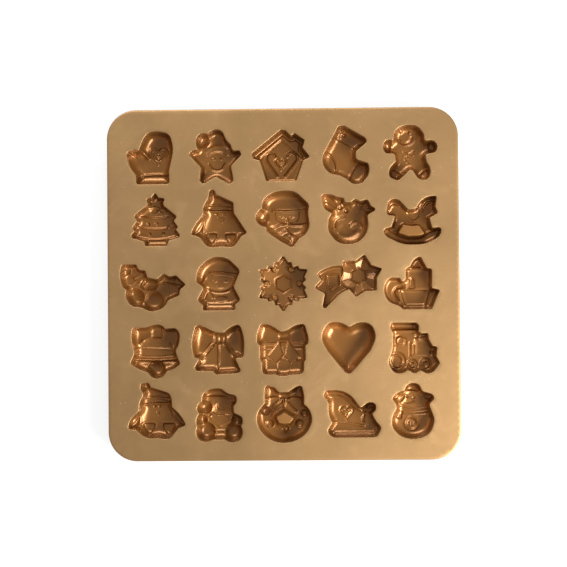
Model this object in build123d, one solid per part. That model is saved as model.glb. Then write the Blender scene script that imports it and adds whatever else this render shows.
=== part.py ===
from build123d import *
import math
import os

# A square silicone mould for small festive chocolates, with 25 shaped pockets in five rows of five.
# Millimetres. The mould lies flat with its pockets open upwards, +Z up and +Y towards the row of the
# mitten. The origin is under the middle of the sheet, in the plane of the pocket bottoms it stands on.
# It is one moulding. It is divided here into 25 cells, each a pocket with its own piece of the sheet,
# and the seams between the cells run straight through the flat web between the pockets.

# Sheet
SIDE = 210.0
CORNER = 17.5
TOP = 12.0
SHEET = 2.0

# Pocket walls. A pointed tip of a pocket has at most TIP_WALL of silicone beyond it.
WALL = 1.4
TIP_WALL = 2.2
DRAFT = 4.0

# Depths below the top face. The shallowest is that of an island that nearly reaches it.
DEEP = 10.4
FULL = 9.5
MIDDLE = 8.6
SHALLOW = 7.6
ISLAND = 1.2

# Relief on the pocket floors
RELIEF_DRAFT = 20.0
CREASE = 1.1

# A rounded corner is made of flats with this turn between them. A tighter one than LEAST_RADIUS stays plain.
FLAT_TURN = 22.0
LEAST_RADIUS = 1.2

# Pocket centres, and the seams on either side of each column and row of cells
COLUMN_AT = (-78.0, -39.0, 0.0, 39.0, 78.0)
ROW_AT = (77.2, 38.6, 0.0, -38.6, -77.2)
COLUMN_SEAM = (-105.0, -57.6, -19.5, 17.9, 59.0, 105.0)
ROW_SEAM = (105.0, 58.25, 19.3, -19.3, -57.1, -105.0)


def sides_at(corners, i):
    """Unit vectors along the sides into and out of a corner, and its turn, positive where it is convex."""
    here = Vector(*corners[i][:2])
    into = (here - Vector(*corners[i - 1][:2])).normalized()
    onward = (Vector(*corners[(i + 1) % len(corners)][:2]) - here).normalized()
    turn = math.radians(into.get_angle(onward)) * (1 if into.cross(onward).Z < 0 else -1)
    return into, onward, turn


def fitted(corners):
    """Corners (x, y, r) with each r cut to the room that its sides leave, or to 0 where it is too tight."""
    count = len(corners)
    cuts = [c[2] * math.tan(abs(sides_at(corners, i)[2]) / 2) for i, c in enumerate(corners)]
    kept = []
    for i, (x, y, r) in enumerate(corners):
        room = 1.0
        for j in (i - 1, (i + 1) % count):
            side = math.dist((x, y), corners[j][:2])
            room = min(room, 0.9 * side / max(cuts[i] + cuts[j], 0.001))
        kept.append((x, y, r * room if r * room >= LEAST_RADIUS else 0))
    return kept


def grown(corners, by, reach=99.0):
    """Corners moved outwards so that every side lies further out, or inwards where by is negative."""
    moved = []
    for i, (x, y, r) in enumerate(corners):
        into, onward, turn = sides_at(corners, i)
        out = (into + onward).normalized().rotate(Axis.Z, 90)
        here = Vector(x, y) + out * min(by / math.cos(turn / 2), reach)
        moved.append((here.X, here.Y, r and max(r + math.copysign(by, turn * by), 0)))
    return moved


def outline(corners):
    """Points round an outline, clockwise, in which each rounded corner is a row of flats on its arc."""
    points = []
    for i, (x, y, r) in enumerate(fitted(corners)):
        into, onward, turn = sides_at(corners, i)
        flats = math.ceil(math.degrees(abs(turn)) / FLAT_TURN) if r else 0
        start = Vector(x, y) - into * r * math.tan(abs(turn) / 2)
        arm = into.rotate(Axis.Z, math.copysign(90, turn)) * r
        for k in range(flats + 1):
            points.append(start - arm + arm.rotate(Axis.Z, -math.degrees(turn) * k / max(flats, 1)))
    return points


def face_of(corners):
    """Flat face inside an outline."""
    return make_face(Polyline(*outline(corners), close=True))


def drafted(face, bottom, top, angle=DRAFT):
    """Solid that stands on a level and narrows from its top face down."""
    block = extrude(Pos(0, 0, bottom) * face, amount=top - bottom)
    sides = [side for side in block.faces() if abs(side.normal_at().Z) < 0.5]
    return draft(sides, Plane.XY.offset(top), -angle)


def plain(*points):
    """Flat face with plain corners."""
    return make_face(Polyline(*points, close=True))


def strip(x1, y1, x2, y2, width=CREASE):
    """Narrow flat strip from one point to another."""
    turn = math.degrees(math.atan2(y2 - y1, x2 - x1))
    middle = Pos((x1 + x2) / 2, (y1 + y2) / 2)
    return middle * Rot(0, 0, turn) * Rectangle(math.hypot(x2 - x1, y2 - y1), width)


def disc(x, y, radius, sides=10):
    """Round pad, drawn with flat sides."""
    return Pos(x, y) * RegularPolygon(radius, sides)


def heart(x, y, width, height):
    """Small heart with its point down."""
    half, low = width / 2, height / 2
    right = [(0.5 * half, low), (half, 0.5 * low)]
    left = [(-half, 0.5 * low), (-0.5 * half, low)]
    return Pos(x, y) * plain((0, 0.5 * low), *right, (0, -low), *left)


def relief(face, floor, depth):
    """Form on the front of a chocolate: a face on the pocket floor drawn deeper, with sloping sides."""
    return drafted(face, TOP - depth, TOP - floor, RELIEF_DRAFT)


def cell(column, row, mouth, floor, sunk=(), raised=()):
    """One cell: its piece of the sheet, with a pocket of the given mouth and floor depth.

    Each sunk face lies at its own greater depth, and each raised one stands up from the floor to its own.
    """
    x0, x1 = COLUMN_SEAM[column], COLUMN_SEAM[column + 1]
    y1, y0 = ROW_SEAM[row], ROW_SEAM[row + 1]
    place = Pos(COLUMN_AT[column], ROW_AT[row])
    bounds = Pos((x0 + x1) / 2, (y0 + y1) / 2) * Rectangle(x1 - x0, y1 - y0)
    sheet = extrude(Pos(0, 0, TOP - SHEET) * (bounds & RectangleRounded(SIDE, SIDE, CORNER)), amount=SHEET)
    outside = plain(*[(x, y) for x, y, _ in grown(mouth, WALL, TIP_WALL)])
    shell = (place * drafted(outside, 0, TOP - SHEET)) & extrude(bounds, amount=TOP)
    bed = extrude(Pos(0, 0, TOP - DEEP - 1) * Rectangle(SIDE, SIDE), amount=DEEP + 1 - floor)
    for face, depth in sunk:
        bed -= relief(face, floor, depth)
    for face, depth in raised:
        bed += extrude(Pos(0, 0, TOP - DEEP - 1) * face, amount=DEEP + 1 - depth)
    hollow = drafted(face_of(mouth), TOP - DEEP, TOP) - bed
    return sheet + shell - place * hollow


def mitten():
    """Mitten: a puffed hand and thumb, a crease above the cuff, and a heart on the back of the hand."""
    mouth = [
        (4.3, 15.1, 15.1), (10.7, 13.3, 5.4), (13.1, 4.5, 18.1), (10.1, -9.3, 1.5), (10.5, -16.8, 1.8),
        (-9.6, -16.8, 1.8), (-9.8, -11, 1.5), (-14.7, -4.9, 19.2), (-15.2, 2.6, 2.2),
        (-10.9, 4.2, 1.2), (-8, 3.4, 1), (-5.1, 10.8, 13.1), (-1.9, 14.5, 5.8),
    ]
    sunk = [(heart(4, 0.3, 9.5, 11), DEEP)]
    raised = [(strip(-11, -11.2, 12, -11.2), MIDDLE), (strip(-6.4, 4, -2, -2.6), MIDDLE)]
    return cell(0, 0, mouth, FULL, sunk, raised)


def star():
    """Smiling star in a tasselled hat: five arms, the hat deeper than the face, and its round tassel."""
    mouth = [
        (-1, 16.1, 5), (3.5, 14.7, 4.5), (5.3, 9.2, 11.8), (8.2, 6.6, 1.5), (9.3, 3, 1.2),
        (13.6, 3, 1.4), (14.6, 0.3, 1.4), (8.3, -6.4, 2), (9.9, -15, 1.8), (7.6, -17.2, 1.6),
        (-1, -12.6, 2.5), (-8.6, -17.1, 1.8), (-10.6, -14.6, 1.6), (-9.6, -7, 2), (-17, 0.9, 1.5),
        (-15, 3, 1.6), (-11.4, 3.9, 1), (-13.2, 8.5, 7), (-10.6, 13.6, 3.4), (-6, 13.2, 1.5),
    ]
    hat = plain((-0.8, 14.6), (2.5, 13.4), (7.6, 4), (4.8, 2.6), (0.5, 4.2), (-5.2, 2.2), (-6, 4))
    smile = [strip(-4.7, -5.3, -1.8, -8.2), strip(-2, -8.4, 2, -8.6), strip(1.8, -8.4, 4.8, -5.3)]
    sunk = [(hat, DEEP), (disc(-8.6, 9.2, 3.2), DEEP)]
    return cell(1, 0, mouth, FULL, sunk, [(line, MIDDLE) for line in smile])


def house():
    """Cottage: a thick roof and chimney, a front wall set back, two hooked sticks and a heart on it."""
    mouth = [
        (-0.7, 15.2, 1.8), (2, 14.7, 1.6), (5.3, 11.3, 0.6), (7.3, 13.2, 1.2), (13.6, 8.8, 1.2),
        (12.2, 4.2, 1), (16.9, -1.6, 1.2), (12.7, -3.2, 1), (8.3, -15.7, 1.5), (-9.6, -15.7, 1.5),
        (-13.5, -3.1, 1), (-17.2, -2.2, 1.3), (-18.4, 0.9, 1.3),
    ]
    front = plain((-0.3, 8.7), (12, -2.6), (14, -4), (10, -17), (-11.4, -17), (-15, -4), (-13.3, -2.2))
    roof = Rectangle(44, 44) - front
    sticks = [
        plain((-9.6, -2.3), (-4.4, 0.4), (-3.8, -1), (-8, -2.9), (-2.2, -12.7), (-3.4, -13.4)),
        plain((9.5, -1.8), (3.2, 0.2), (2.8, -1.2), (8, -2.7), (1, -12.8), (2.2, -13.6)),
    ]
    sunk = [(roof, DEEP)] + [(face, FULL) for face in [heart(-0.8, -5.6, 5.4, 6)] + sticks]
    return cell(2, 0, mouth, MIDDLE, sunk)


def stocking():
    """Stocking: a turned-down cuff, and creases round the heel and the toe."""
    mouth = [
        (-5.3, 16.8, 1.8), (-2, 17.2, 1.8), (10.6, 9.9, 4.3), (11.9, 7.3, 1.8), (5, 1.5, 1.6),
        (5, -3, 2), (12.4, -5.4, 2.5), (13.5, -11.6, 8.4), (8.4, -17.7, 5.3), (3.5, -18.1, 6),
        (-3.4, -12.7, 15.3), (-10.9, -11.6, 8.9), (-15.4, -5.5, 8.4), (-14.4, 0, 0),
    ]
    cuff = plain((-4.6, 15.4), (-2, 15.6), (9.4, 9.2), (10.4, 7.2), (5, 2.8), (-8, 10.2))
    heel = [strip(-12, 0.6, -7.6, -4), strip(-7.6, -3.6, -6.6, -13)]
    toe = [strip(5, -4.6, 1, -16.4)]
    return cell(3, 0, mouth, FULL, [(cuff, DEEP)], [(line, MIDDLE) for line in heel + toe])


def gingerbread():
    """Biscuit figure: a round head with a sunk face, a bow at the neck, two buttons and creased cuffs."""
    mouth = [
        (-4.5, 17.4, 11.8), (2.9, 16.8, 7.1), (7, 11, 4.5), (6.5, 7.6, 1.2), (12.2, 8.1, 3.7),
        (14.9, 4.5, 4), (13.6, 0.6, 2), (7, -0.6, 2), (8.3, -5.5, 1.5), (11.2, -10, 7.6),
        (9, -15.7, 3), (3.5, -15.9, 5.3), (-1, -8.8, 1.5), (-6, -13.8, 40), (-9, -16.3, 2.5),
        (-14.2, -14, 3), (-14.7, -9.2, 6.2), (-10.3, -4.5, 1.5), (-10.8, 0.2, 1.5), (-16.4, 0, 3),
        (-18.5, 5, 4.4), (-15.5, 8.8, 3), (-11.5, 7.8, 1.2), (-11, 14.1, 6.2),
    ]
    sunk = [(disc(-4, 9.6, 6, 12), DEEP), (disc(-4.7, -4.7, 1, 6), DEEP), (disc(-3.2, -7.6, 1, 6), DEEP)]
    sunk.append((plain((-6.4, 2.2), (-2.8, 0.6), (0.8, 2), (0.8, -2), (-2.8, -0.6), (-6.4, -1.8)), DEEP))
    ends = [strip(-12.8, -10.6, -7.2, -13.8), strip(4, -12.8, 9.2, -10.8)]
    return cell(4, 0, mouth, FULL, sunk, [(line, MIDDLE) for line in ends])


def tree():
    """Fir tree: three tiers above a trunk, a star at the top and small round baubles."""
    mouth = [
        (1.7, 17, 0.9), (3.6, 14, 0.8), (7.9, 13.2, 1), (6.6, 11, 0.6), (6.9, 9, 0.8),
        (14.9, 2.3, 1.4), (12.8, -0.3, 0.6), (15.6, -4.2, 1.4), (14, -5.5, 0.6), (17.4, -9.8, 1.6),
        (9.6, -12.1, 0.8), (8.6, -15.2, 1), (-4.4, -15.2, 1), (-5, -12.4, 0.8), (-13.9, -9.9, 1.6),
        (-10.6, -6, 0.6), (-12.2, -4.2, 1.2), (-9.1, -0.2, 0.6), (-11, 3.1, 1.2), (-2.6, 9.7, 0.8),
        (-3.5, 13.2, 1), (-0.4, 13.9, 0.6),
    ]
    star_top = plain(
        (1.7, 15.2), (2.8, 13), (6, 12.2), (4.4, 9.8), (5, 6.6), (1.7, 7.6), (-1.4, 6.8), (-0.8, 10),
        (-2, 12.2), (0.6, 13),
    )
    tiers = [strip(-8.6, 1.6, 12.4, 1.6), strip(-10, -5, 13.6, -5), strip(-9.6, -11.2, 13.4, -11.2)]
    baubles = [disc(x, y, 1, 6) for x, y in ((-1.5, -8.2), (6.9, -8), (-2, -2), (5, -2))]
    sunk = [(face, DEEP) for face in [star_top] + baubles]
    return cell(0, 1, mouth, FULL, sunk, [(line, MIDDLE) for line in tiers])


def webbed_foot(x, y, width, length):
    """One webbed foot, wide at the top and pointed below."""
    return Pos(x, y) * plain((-width / 2, 0), (width / 2, 0), (width / 2 - 0.6, -0.4 * length), (0, -length))


def penguin():
    """Penguin in a pointed hat: turned-down brim, beak, flippers held out and two pointed feet."""
    mouth = [
        (-4.6, 18.6, 1.7), (-1.9, 17.9, 1.6), (-0.5, 15.3, 2), (9.6, 10.6, 2), (9.9, 4, 3),
        (17.8, -7.9, 1.2), (14.2, -9.8, 1.5), (9.3, -16.7, 6), (2, -15.5, 29.7), (-5.7, -16.8, 6.4),
        (-10.4, -10.3, 3), (-16, -8.4, 1.2), (-13.7, -2.9, 30), (-8.6, 3, 3), (-8.4, 8.5, 9.3),
        (-5.2, 13, 10.8),
    ]
    brim = plain((-7.2, 8.4), (8.6, 8.6), (8.8, 5.2), (-7.2, 5))
    feet = [webbed_foot(-3.6, -7.8, 6.6, 7.2), webbed_foot(7.8, -8.2, 6.6, 6.8)]
    beak = plain((0.4, 3.4), (4.3, 2.8), (2.6, -1.6))
    sunk = [(face, DEEP) for face in [brim, beak] + feet]
    flippers = [strip(-7.6, 0.6, -12.2, -8), strip(9.4, 1.6, 13, -8.6)]
    return cell(1, 1, mouth, FULL, sunk, [(line, MIDDLE) for line in flippers])


def bearded_man():
    """Bearded head in a winter hat: rolled brim, round tassel, plain face, moustache and pointed beard."""
    mouth = [
        (0.5, 17.4, 22.7), (7.6, 16.9, 9.4), (16, 8.7, 4.2), (15, 4, 15.6), (16.2, -4.5, 8.1),
        (13.1, -9.7, 7.4), (9.6, -11.5, 8.6), (5.8, -17, 1.6), (-1.5, -13, 40), (-9.9, -7, 2.5),
        (-9.6, -4.4, 1), (-13.9, -3.9, 6.1), (-16.8, 1, 4), (-14, 5.8, 3.3), (-12.4, 6.5, 1),
        (-11.7, 12.5, 7.4), (-5.5, 16.4, 14),
    ]
    face = plain((-4.6, 4), (10.6, 4), (9.4, -1.6), (-3.2, -1.6))
    brim = plain((-10.4, 7.4), (14.4, 7.6), (13.6, 4.6), (-9, 4.6))
    moustache = plain((1.4, -2), (14, -5), (8.6, -7), (1.4, -4.6), (-4.8, -6.2), (-8.4, -4.6))
    sunk = [(brim, DEEP), (moustache, DEEP), (disc(-12, 1, 3.6), DEEP)]
    return cell(2, 1, mouth, FULL, sunk, [(face, MIDDLE), (strip(-5, -10, 4, -7.6), MIDDLE)])


def bauble():
    """Hanging bauble: a round ball with two curls on it, under a sprig of leaves with three berries."""
    mouth = [
        (-15.9, 14.5, 1.6), (-11, 15.4, 9.6), (-7.3, 13.4, 1.5), (-2.6, 12.6, 1.6), (-1.8, 10, 1),
        (1.9, 9.9, 1), (4.2, 12.1, 1.6), (7, 10.4, 1.6), (11.6, 11.7, 1.6), (13.5, 7.8, 2),
        (17.2, 5.4, 1.2), (11.5, 2, 1.5), (12.4, -7.1, 11.9), (5.8, -15.1, 10.2), (-5.8, -15.1, 10.2),
        (-12.3, -7, 9.1), (-11.4, 1, 5.9), (-9.3, 3.6, 1), (-14.5, 5.4, 6.6),
    ]
    ball = disc(0, -3.8, 10.8, 16)
    berries = [disc(x, y, 1.4, 8) for x, y in ((-4.7, 6.9), (-2.2, 8.6), (-0.6, 5.9))]
    veins = [strip(-13, 12.4, -6.4, 8.4), strip(4.6, 8.6, 13.6, 5.8)]
    curls = [strip(-8.3, -5, -6.8, -0.6), strip(-7, -0.9, -2.8, 0.8)]
    curls += [strip(1.5, -3.4, 4.6, -2), strip(4.4, -2, 7.6, -4.4)]
    sunk = [(face, DEEP) for face in [ball] + berries]
    raised = [(line, SHALLOW) for line in veins] + [(line, FULL) for line in curls]
    return cell(3, 1, mouth, MIDDLE, sunk, raised)


def rocking_horse():
    """Rocking horse: mane and tail, a saddle cloth, a curved rocker, and an island between the legs."""
    mouth = [
        (-14.9, 10.9, 3.5), (-9.5, 12.1, 4.8), (-3.3, 5.2, 3), (1.6, 5.6, 3), (5, 13, 10.4),
        (13.9, 13.3, 1.3), (12.9, 6.7, 2), (14.6, 2.9, 1.5), (9.4, 0, 1), (10.9, -5.8, 1),
        (16.6, -5.3, 1.8), (15.9, -10.7, 5.6), (7.5, -15.6, 17.5), (-6.5, -15.9, 20.6),
        (-16.4, -10.6, 6.4), (-18.9, -6.6, 2), (-13.2, -4.9, 1.2), (-11, 1.6, 0.8), (-16.5, 1.9, 2.5),
    ]
    between_legs = [
        (-8.6, -8.4, 0), (-5.6, -4, 1.2), (2.8, -4.4, 1.2), (6, -9, 0), (3, -10.2, 0), (-3.6, -10.4, 0),
    ]
    island = face_of(between_legs)
    rocker = plain(
        (-16.4, -6.6), (-13.6, -6.8), (-8.6, -10.4), (-1, -12), (6, -11.2), (11.6, -7.6), (15, -7),
        (13.4, -10.6), (7, -14.2), (-6, -14.6), (-14.4, -11),
    )
    cloth = plain((-4.4, 3.8), (3.4, 4), (3, 0.6), (0, -1.2), (-3.6, 0.4))
    hair = [strip(-14.6, 6, -10.6, 9), strip(-14, 3.6, -8.4, 7.8), strip(6.8, 10.4, 4.6, 5.6)]
    sunk = [(rocker, DEEP), (cloth, DEEP)]
    return cell(4, 1, mouth, FULL, sunk, [(island, ISLAND)] + [(line, MIDDLE) for line in hair])


def holly():
    """Holly sprig: two spiked leaves with midribs, and three berries that stand out from them."""
    mouth = [
        (-18.5, 12.6, 1.5), (-9.8, 12.6, 1.6), (-8.6, 9.3, 2), (-4.4, 8.8, 1.6), (-3.3, 4.8, 1),
        (2.4, 3.4, 2), (6.5, 7, 2), (9.6, 5.2, 1.5), (13.9, 5.8, 1.6), (19.9, 0.1, 1.2),
        (16.4, -2.6, 1.5), (15.7, -6.3, 1.6), (9, -9.2, 2), (6.8, -14, 8.9), (-1.5, -16.1, 6.6),
        (-6.5, -13.1, 12.6), (-13.3, -12.7, 5.8), (-16.8, -6, 6), (-15.6, -2.6, 1), (-17.6, -1.5, 1.2),
        (-20.4, 4.3, 18.4),
    ]
    berries = [disc(-10, -7.2, 5, 12), disc(0.8, -9.3, 5, 12), disc(-0.8, 0.2, 3.6, 12)]
    ribs = [strip(-16.4, 8.6, -5.6, 1.6), strip(4, 1, 16.8, -0.4)]
    return cell(0, 2, mouth, MIDDLE, [(face, DEEP) for face in berries], [(line, SHALLOW) for line in ribs])


def hatted_child():
    """Child in a bobble hat: large round head with a brimmed hat, a scarf, and a hemmed coat."""
    mouth = [
        (-2, 16.8, 9.8), (5.7, 16.1, 10.5), (13.4, 8.4, 3), (9.3, -1.5, 3), (13.5, -9.3, 2),
        (10.2, -12, 0.8), (10.2, -15.4, 1.4), (-9.2, -15.4, 1.4), (-9.2, -12, 0.8), (-12.5, -9.2, 2),
        (-8.2, -1.6, 2), (-13, 1.6, 2.2), (-12.4, 8.6, 10.5), (-7.6, 14, 15.4),
    ]
    head = plain(
        (-10.6, 8), (-6.4, 12.8), (-1.6, 15.2), (5, 14.4), (11.4, 8.2), (8.8, 1.2), (6.8, -2.2),
        (2, -3.6), (-3.4, -2), (-7.4, 1.6),
    )
    brim = [strip(-5, 6.8, 10.8, 5.8)]
    scarf = [strip(-6.6, -3.4, 1.6, -6), strip(1.2, -6, 9.2, -3.6)]
    hem = [strip(-11, -12.6, 11.6, -12.6)]
    lines = [(line, FULL) for line in brim] + [(line, SHALLOW) for line in scarf + hem]
    return cell(1, 2, mouth, MIDDLE, [(head, DEEP)], lines)


def snowflake():
    """Snowflake: six pointed arms, a round pit between each two, and a six-sided groove in the middle."""
    mouth = [
        (-5, 13.2, 0.9), (-3, 13.1, 0.6), (0, 17.2, 0.9), (3, 13.1, 0.6), (5, 13.2, 0.9),
        (5.7, 10, 0.8), (8.8, 11, 0.9), (9.7, 9.2, 0.6), (14.7, 8.7, 0.9), (12.6, 4.1, 0.6),
        (13.7, 2.4, 0.9), (11.3, 0.2, 0.8), (13.7, -2, 0.9), (12.6, -3.7, 0.6), (14.7, -8.3, 0.9),
        (9.7, -8.8, 0.6), (8.8, -10.6, 0.9), (5.7, -9.6, 0.8), (5, -12.8, 0.9), (3, -12.7, 0.6),
        (0, -16.8, 0.9), (-3, -12.7, 0.6), (-5, -12.8, 0.9), (-5.7, -9.6, 0.8), (-8.8, -10.6, 0.9),
        (-9.7, -8.8, 0.6), (-14.7, -8.3, 0.9), (-12.6, -3.7, 0.6), (-13.7, -2, 0.9), (-11.3, 0.2, 0.8),
        (-13.7, 2.4, 0.9), (-12.6, 4.1, 0.6), (-14.7, 8.7, 0.9), (-9.7, 9.2, 0.6), (-8.8, 11, 0.9),
        (-5.7, 10, 0.8),
    ]
    around = [math.radians(30 + 60 * k) for k in range(6)]
    pits = [disc(9.9 * math.sin(a), 0.2 + 9.9 * math.cos(a), 1.8, 8) for a in around]
    middle = Pos(0, 0.2) * (Rot(0, 0, 30) * (RegularPolygon(5.2, 6) - RegularPolygon(4.3, 6)))
    return cell(2, 2, mouth, FULL, [(middle, DEEP)], [(face, SHALLOW) for face in pits])


def comet():
    """Comet: a star cut in facets round a six-sided flat, with a forked tail that has a sunk panel."""
    mouth = [
        (9.6, 17.3, 0.9), (13.5, 11, 1.2), (20, 8.8, 0.9), (16.7, 3, 1.2), (16.8, -4.3, 0.9),
        (10, -4.5, 1.2), (4.4, -8.1, 0.9), (0.4, -3.4, 1), (-4.1, -4.9, 17.1), (-14.6, -15.3, 1),
        (-15.6, -13, 1.5), (-14.2, -5.6, 1.5), (-18.4, -3.5, 1.5), (-20.4, -2.2, 1), (-16.2, 2.4, 1.2),
        (-18.9, 5.7, 1.2), (-12.1, 11.1, 20.1), (-3.2, 10.6, 1), (-3, 13.8, 1), (3.9, 13.4, 1.2),
    ]
    flat = Pos(6, 4.5) * RegularPolygon(4.7, 6)
    panel = plain((-13, 5), (-5.6, 5.4), (-5.4, -1), (-9.8, -4.2), (-12.8, -1.4))
    ray = strip(4.8, 0, 12, 0, 0.9)
    arms = [Pos(6, 4.5) * Rot(0, 0, 17 + 60 * k) * ray for k in range(6)]
    return cell(3, 2, mouth, MIDDLE, [(flat, DEEP), (panel, FULL)], [(line, SHALLOW) for line in arms])


def candle():
    """Chamber candle: flame, candle with a run of wax, bowl with slanting panels, and a round handle."""
    mouth = [
        (3.8, 16, 1.5), (7.5, 8.9, 1), (10.6, 8.4, 1.5), (10.3, -3, 1), (15.2, -4.2, 1),
        (10.2, -15.6, 1), (-6.8, -15.6, 1), (-8.7, -13.5, 10.2), (-15.9, -11.1, 7.5), (-18.8, -3, 9),
        (-15.2, 3.3, 4), (-8.6, 3.2, 1.5), (-7.4, 0.5, 1), (-5, 2.4, 1.2), (-5, 8.6, 1.2),
        (-2, 10.4, 1), (-1.1, 13.7, 6.4),
    ]
    flame = plain((3.6, 14), (-0.4, 12.6), (-1, 9.6), (6.8, 9.6))
    stick = plain((-3.8, 7.6), (9.2, 7.6), (9, -2.8), (-3.8, -2.8))
    bowl = plain((-7.8, -4.8), (13, -5), (9.4, -14.2), (-5.6, -14.2))
    wax = [strip(-3.4, 0.6, -1.6, 3.8), strip(-1.8, 3.8, 0.4, 1)]
    sunk = [(flame, DEEP), (stick, FULL), (bowl, DEEP)]
    return cell(4, 2, mouth, MIDDLE, sunk, [(line, MIDDLE) for line in wax])


def bell():
    """Bell under a bow: bow loops behind, a domed bell with two rings, a flared mouth and its clapper."""
    mouth = [
        (-12, 13.4, 1.8), (-4.6, 13.3, 1.5), (-1, 14.7, 23.8), (4.7, 15.5, 5.3), (7.2, 12.6, 1.2),
        (13.6, 13.1, 3.5), (16.1, 9.5, 5.5), (15.5, 3, 14.6), (13.4, -0.6, 1.2), (14.6, -5, 17.7),
        (16.3, -8.2, 1.8), (12.9, -11.5, 14.2), (8, -13, 1.5), (4.8, -17.2, 4.7), (-0.4, -17.1, 5.5),
        (-3.2, -13.6, 1.5), (-10.4, -10.7, 19.3), (-13.7, -7.9, 1.5), (-11.1, -2, 3),
        (-11.6, 0.4, 1.2), (-13.4, 8, 16.1),
    ]
    dome = plain((-9.8, -0.6), (-4.6, 5), (0, 6.8), (5.6, 6.2), (12, 0), (12.6, -5), (-9.6, -5))
    lip = plain((-11.4, -8), (-9.8, -5.6), (12.8, -5.6), (14.2, -8.4), (11.8, -10.2), (-9, -9.8))
    knot = plain((-0.6, 13.2), (5, 13.4), (5.6, 8), (-0.6, 8))
    clapper = disc(2.2, -11.4, 4.6, 12)
    rings = [strip(-9, -0.2, 12, -0.2), strip(-9, -3, 12, -3)]
    sunk = [(dome, FULL)] + [(face, DEEP) for face in (lip, clapper, knot)]
    return cell(0, 3, mouth, MIDDLE, sunk, [(line, MIDDLE) for line in rings])


def bow():
    """Ribbon bow: two full loops, a ribbed knot, and two wide tails."""
    mouth = [
        (-13.2, 15.2, 2.2), (-8.7, 13.8, 22.3), (-1.8, 9.9, 15.7), (3.2, 10, 1.5), (6.9, 13.4, 15.6),
        (12.6, 15.2, 2.5), (15.8, 7, 28), (15, -5, 2.2), (9.8, -5.2, 1), (13.6, -13.2, 1.5),
        (11, -14.3, 1.5), (-1.4, -15, 1.2), (-3.2, -13, 1), (-13.4, -12.8, 1.6), (-14.3, -10.6, 1.2),
        (-11.2, -5.2, 0.8), (-14.3, -5, 2), (-16.6, 3, 24.6),
    ]
    left = [(-13.6, 12.8, 2), (-4, 9.6, 1), (-4, 4, 1), (-11.2, -1.4, 0), (-13, -3.4, 1.5), (-14.4, 3, 0)]
    right = [(5.8, 10, 1), (11.8, 12.8, 2), (13.8, 7, 0), (13.4, -3.2, 1.5), (11.6, -1.6, 0), (5.8, 3.6, 1)]
    loops = [face_of(corners) for corners in (left, right)]
    knot = plain((-2.6, 9), (4.2, 9), (4.4, 3.6), (-2.6, 3.6))
    middle = [strip(0.2, 2.4, -0.6, -13.4)]
    sunk = [(face, DEEP) for face in loops + [knot]]
    return cell(1, 3, mouth, FULL, sunk, [(line, MIDDLE) for line in middle])


def gift():
    """Gift box: bow on a lidded box, pointed ribbon ends over the front, and a ribbon down it."""
    mouth = [
        (-13.3, 15.3, 2), (-7.9, 14.5, 15.4), (-2, 10.3, 3), (1.6, 10.6, 9), (6.4, 14.1, 12.3),
        (12.4, 15, 2), (15, 6, 10.7), (14.4, 3, 1.2), (12.9, 1.8, 0.8), (13, -6.5, 1), (12, -8, 0.8),
        (11.8, -15, 3), (3.6, -15.4, 1), (1.5, -16.1, 1), (-2.5, -16.1, 1), (-5, -15.2, 1),
        (-12.9, -15.2, 3), (-13.2, -7.6, 1), (-14.2, -5.4, 0.8), (-14.2, 2.3, 0.8), (-15.8, 3.9, 1.2),
        (-16.3, 8, 14),
    ]
    loops = [
        plain((-13, 12.8), (-4.6, 10), (-4.2, 6.6), (-10.6, 5.4), (-13.6, 5.4)),
        plain((4.6, 10.8), (11.6, 12.8), (13, 6), (12.6, 5.4), (4.6, 6.6)),
    ]
    ends = [
        plain((-2.4, 4.8), (-9, -3.6), (-4.2, -8.2), (0, -3.6)),
        plain((2.4, 4.8), (9.2, -4), (4.6, -8.4), (0.4, -3.6)),
    ]
    knot = plain((-3.2, 9.6), (3.6, 9.6), (3.4, 5.6), (-3, 5.6))
    lid = [strip(-16, 3.4, -4, 3.4), strip(4, 3.4, 16, 3.4)]
    lid += [strip(-16, -6.2, -8, -6.2), strip(8, -6.2, 14, -6.2)]
    ribbon = plain((-3.4, -9.4), (3.2, -9.4), (3.2, -14.6), (-3.4, -14.6))
    sunk = [(face, DEEP) for face in loops + ends + [knot, ribbon]]
    return cell(2, 3, mouth, FULL, sunk, [(line, MIDDLE) for line in lid])


def heart_pillow():
    """Plain full heart, its floor raised to a bevel all round."""
    mouth = [
        (-12.5, 15.8, 6), (-5, 15.9, 12.4), (0, 12.7, 1.6), (6, 15.9, 11), (13.2, 14.9, 6.5),
        (16.5, 7, 9.3), (12.5, -1.5, 0), (2.7, -13, 3), (0, -15.4, 1.8), (-2.8, -14, 3),
        (-13, -1.2, 0), (-17.5, 7, 8.8),
    ]
    pad = face_of(grown(mouth, -2.4))
    return cell(3, 3, mouth, FULL, [(pad, DEEP)])


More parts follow.
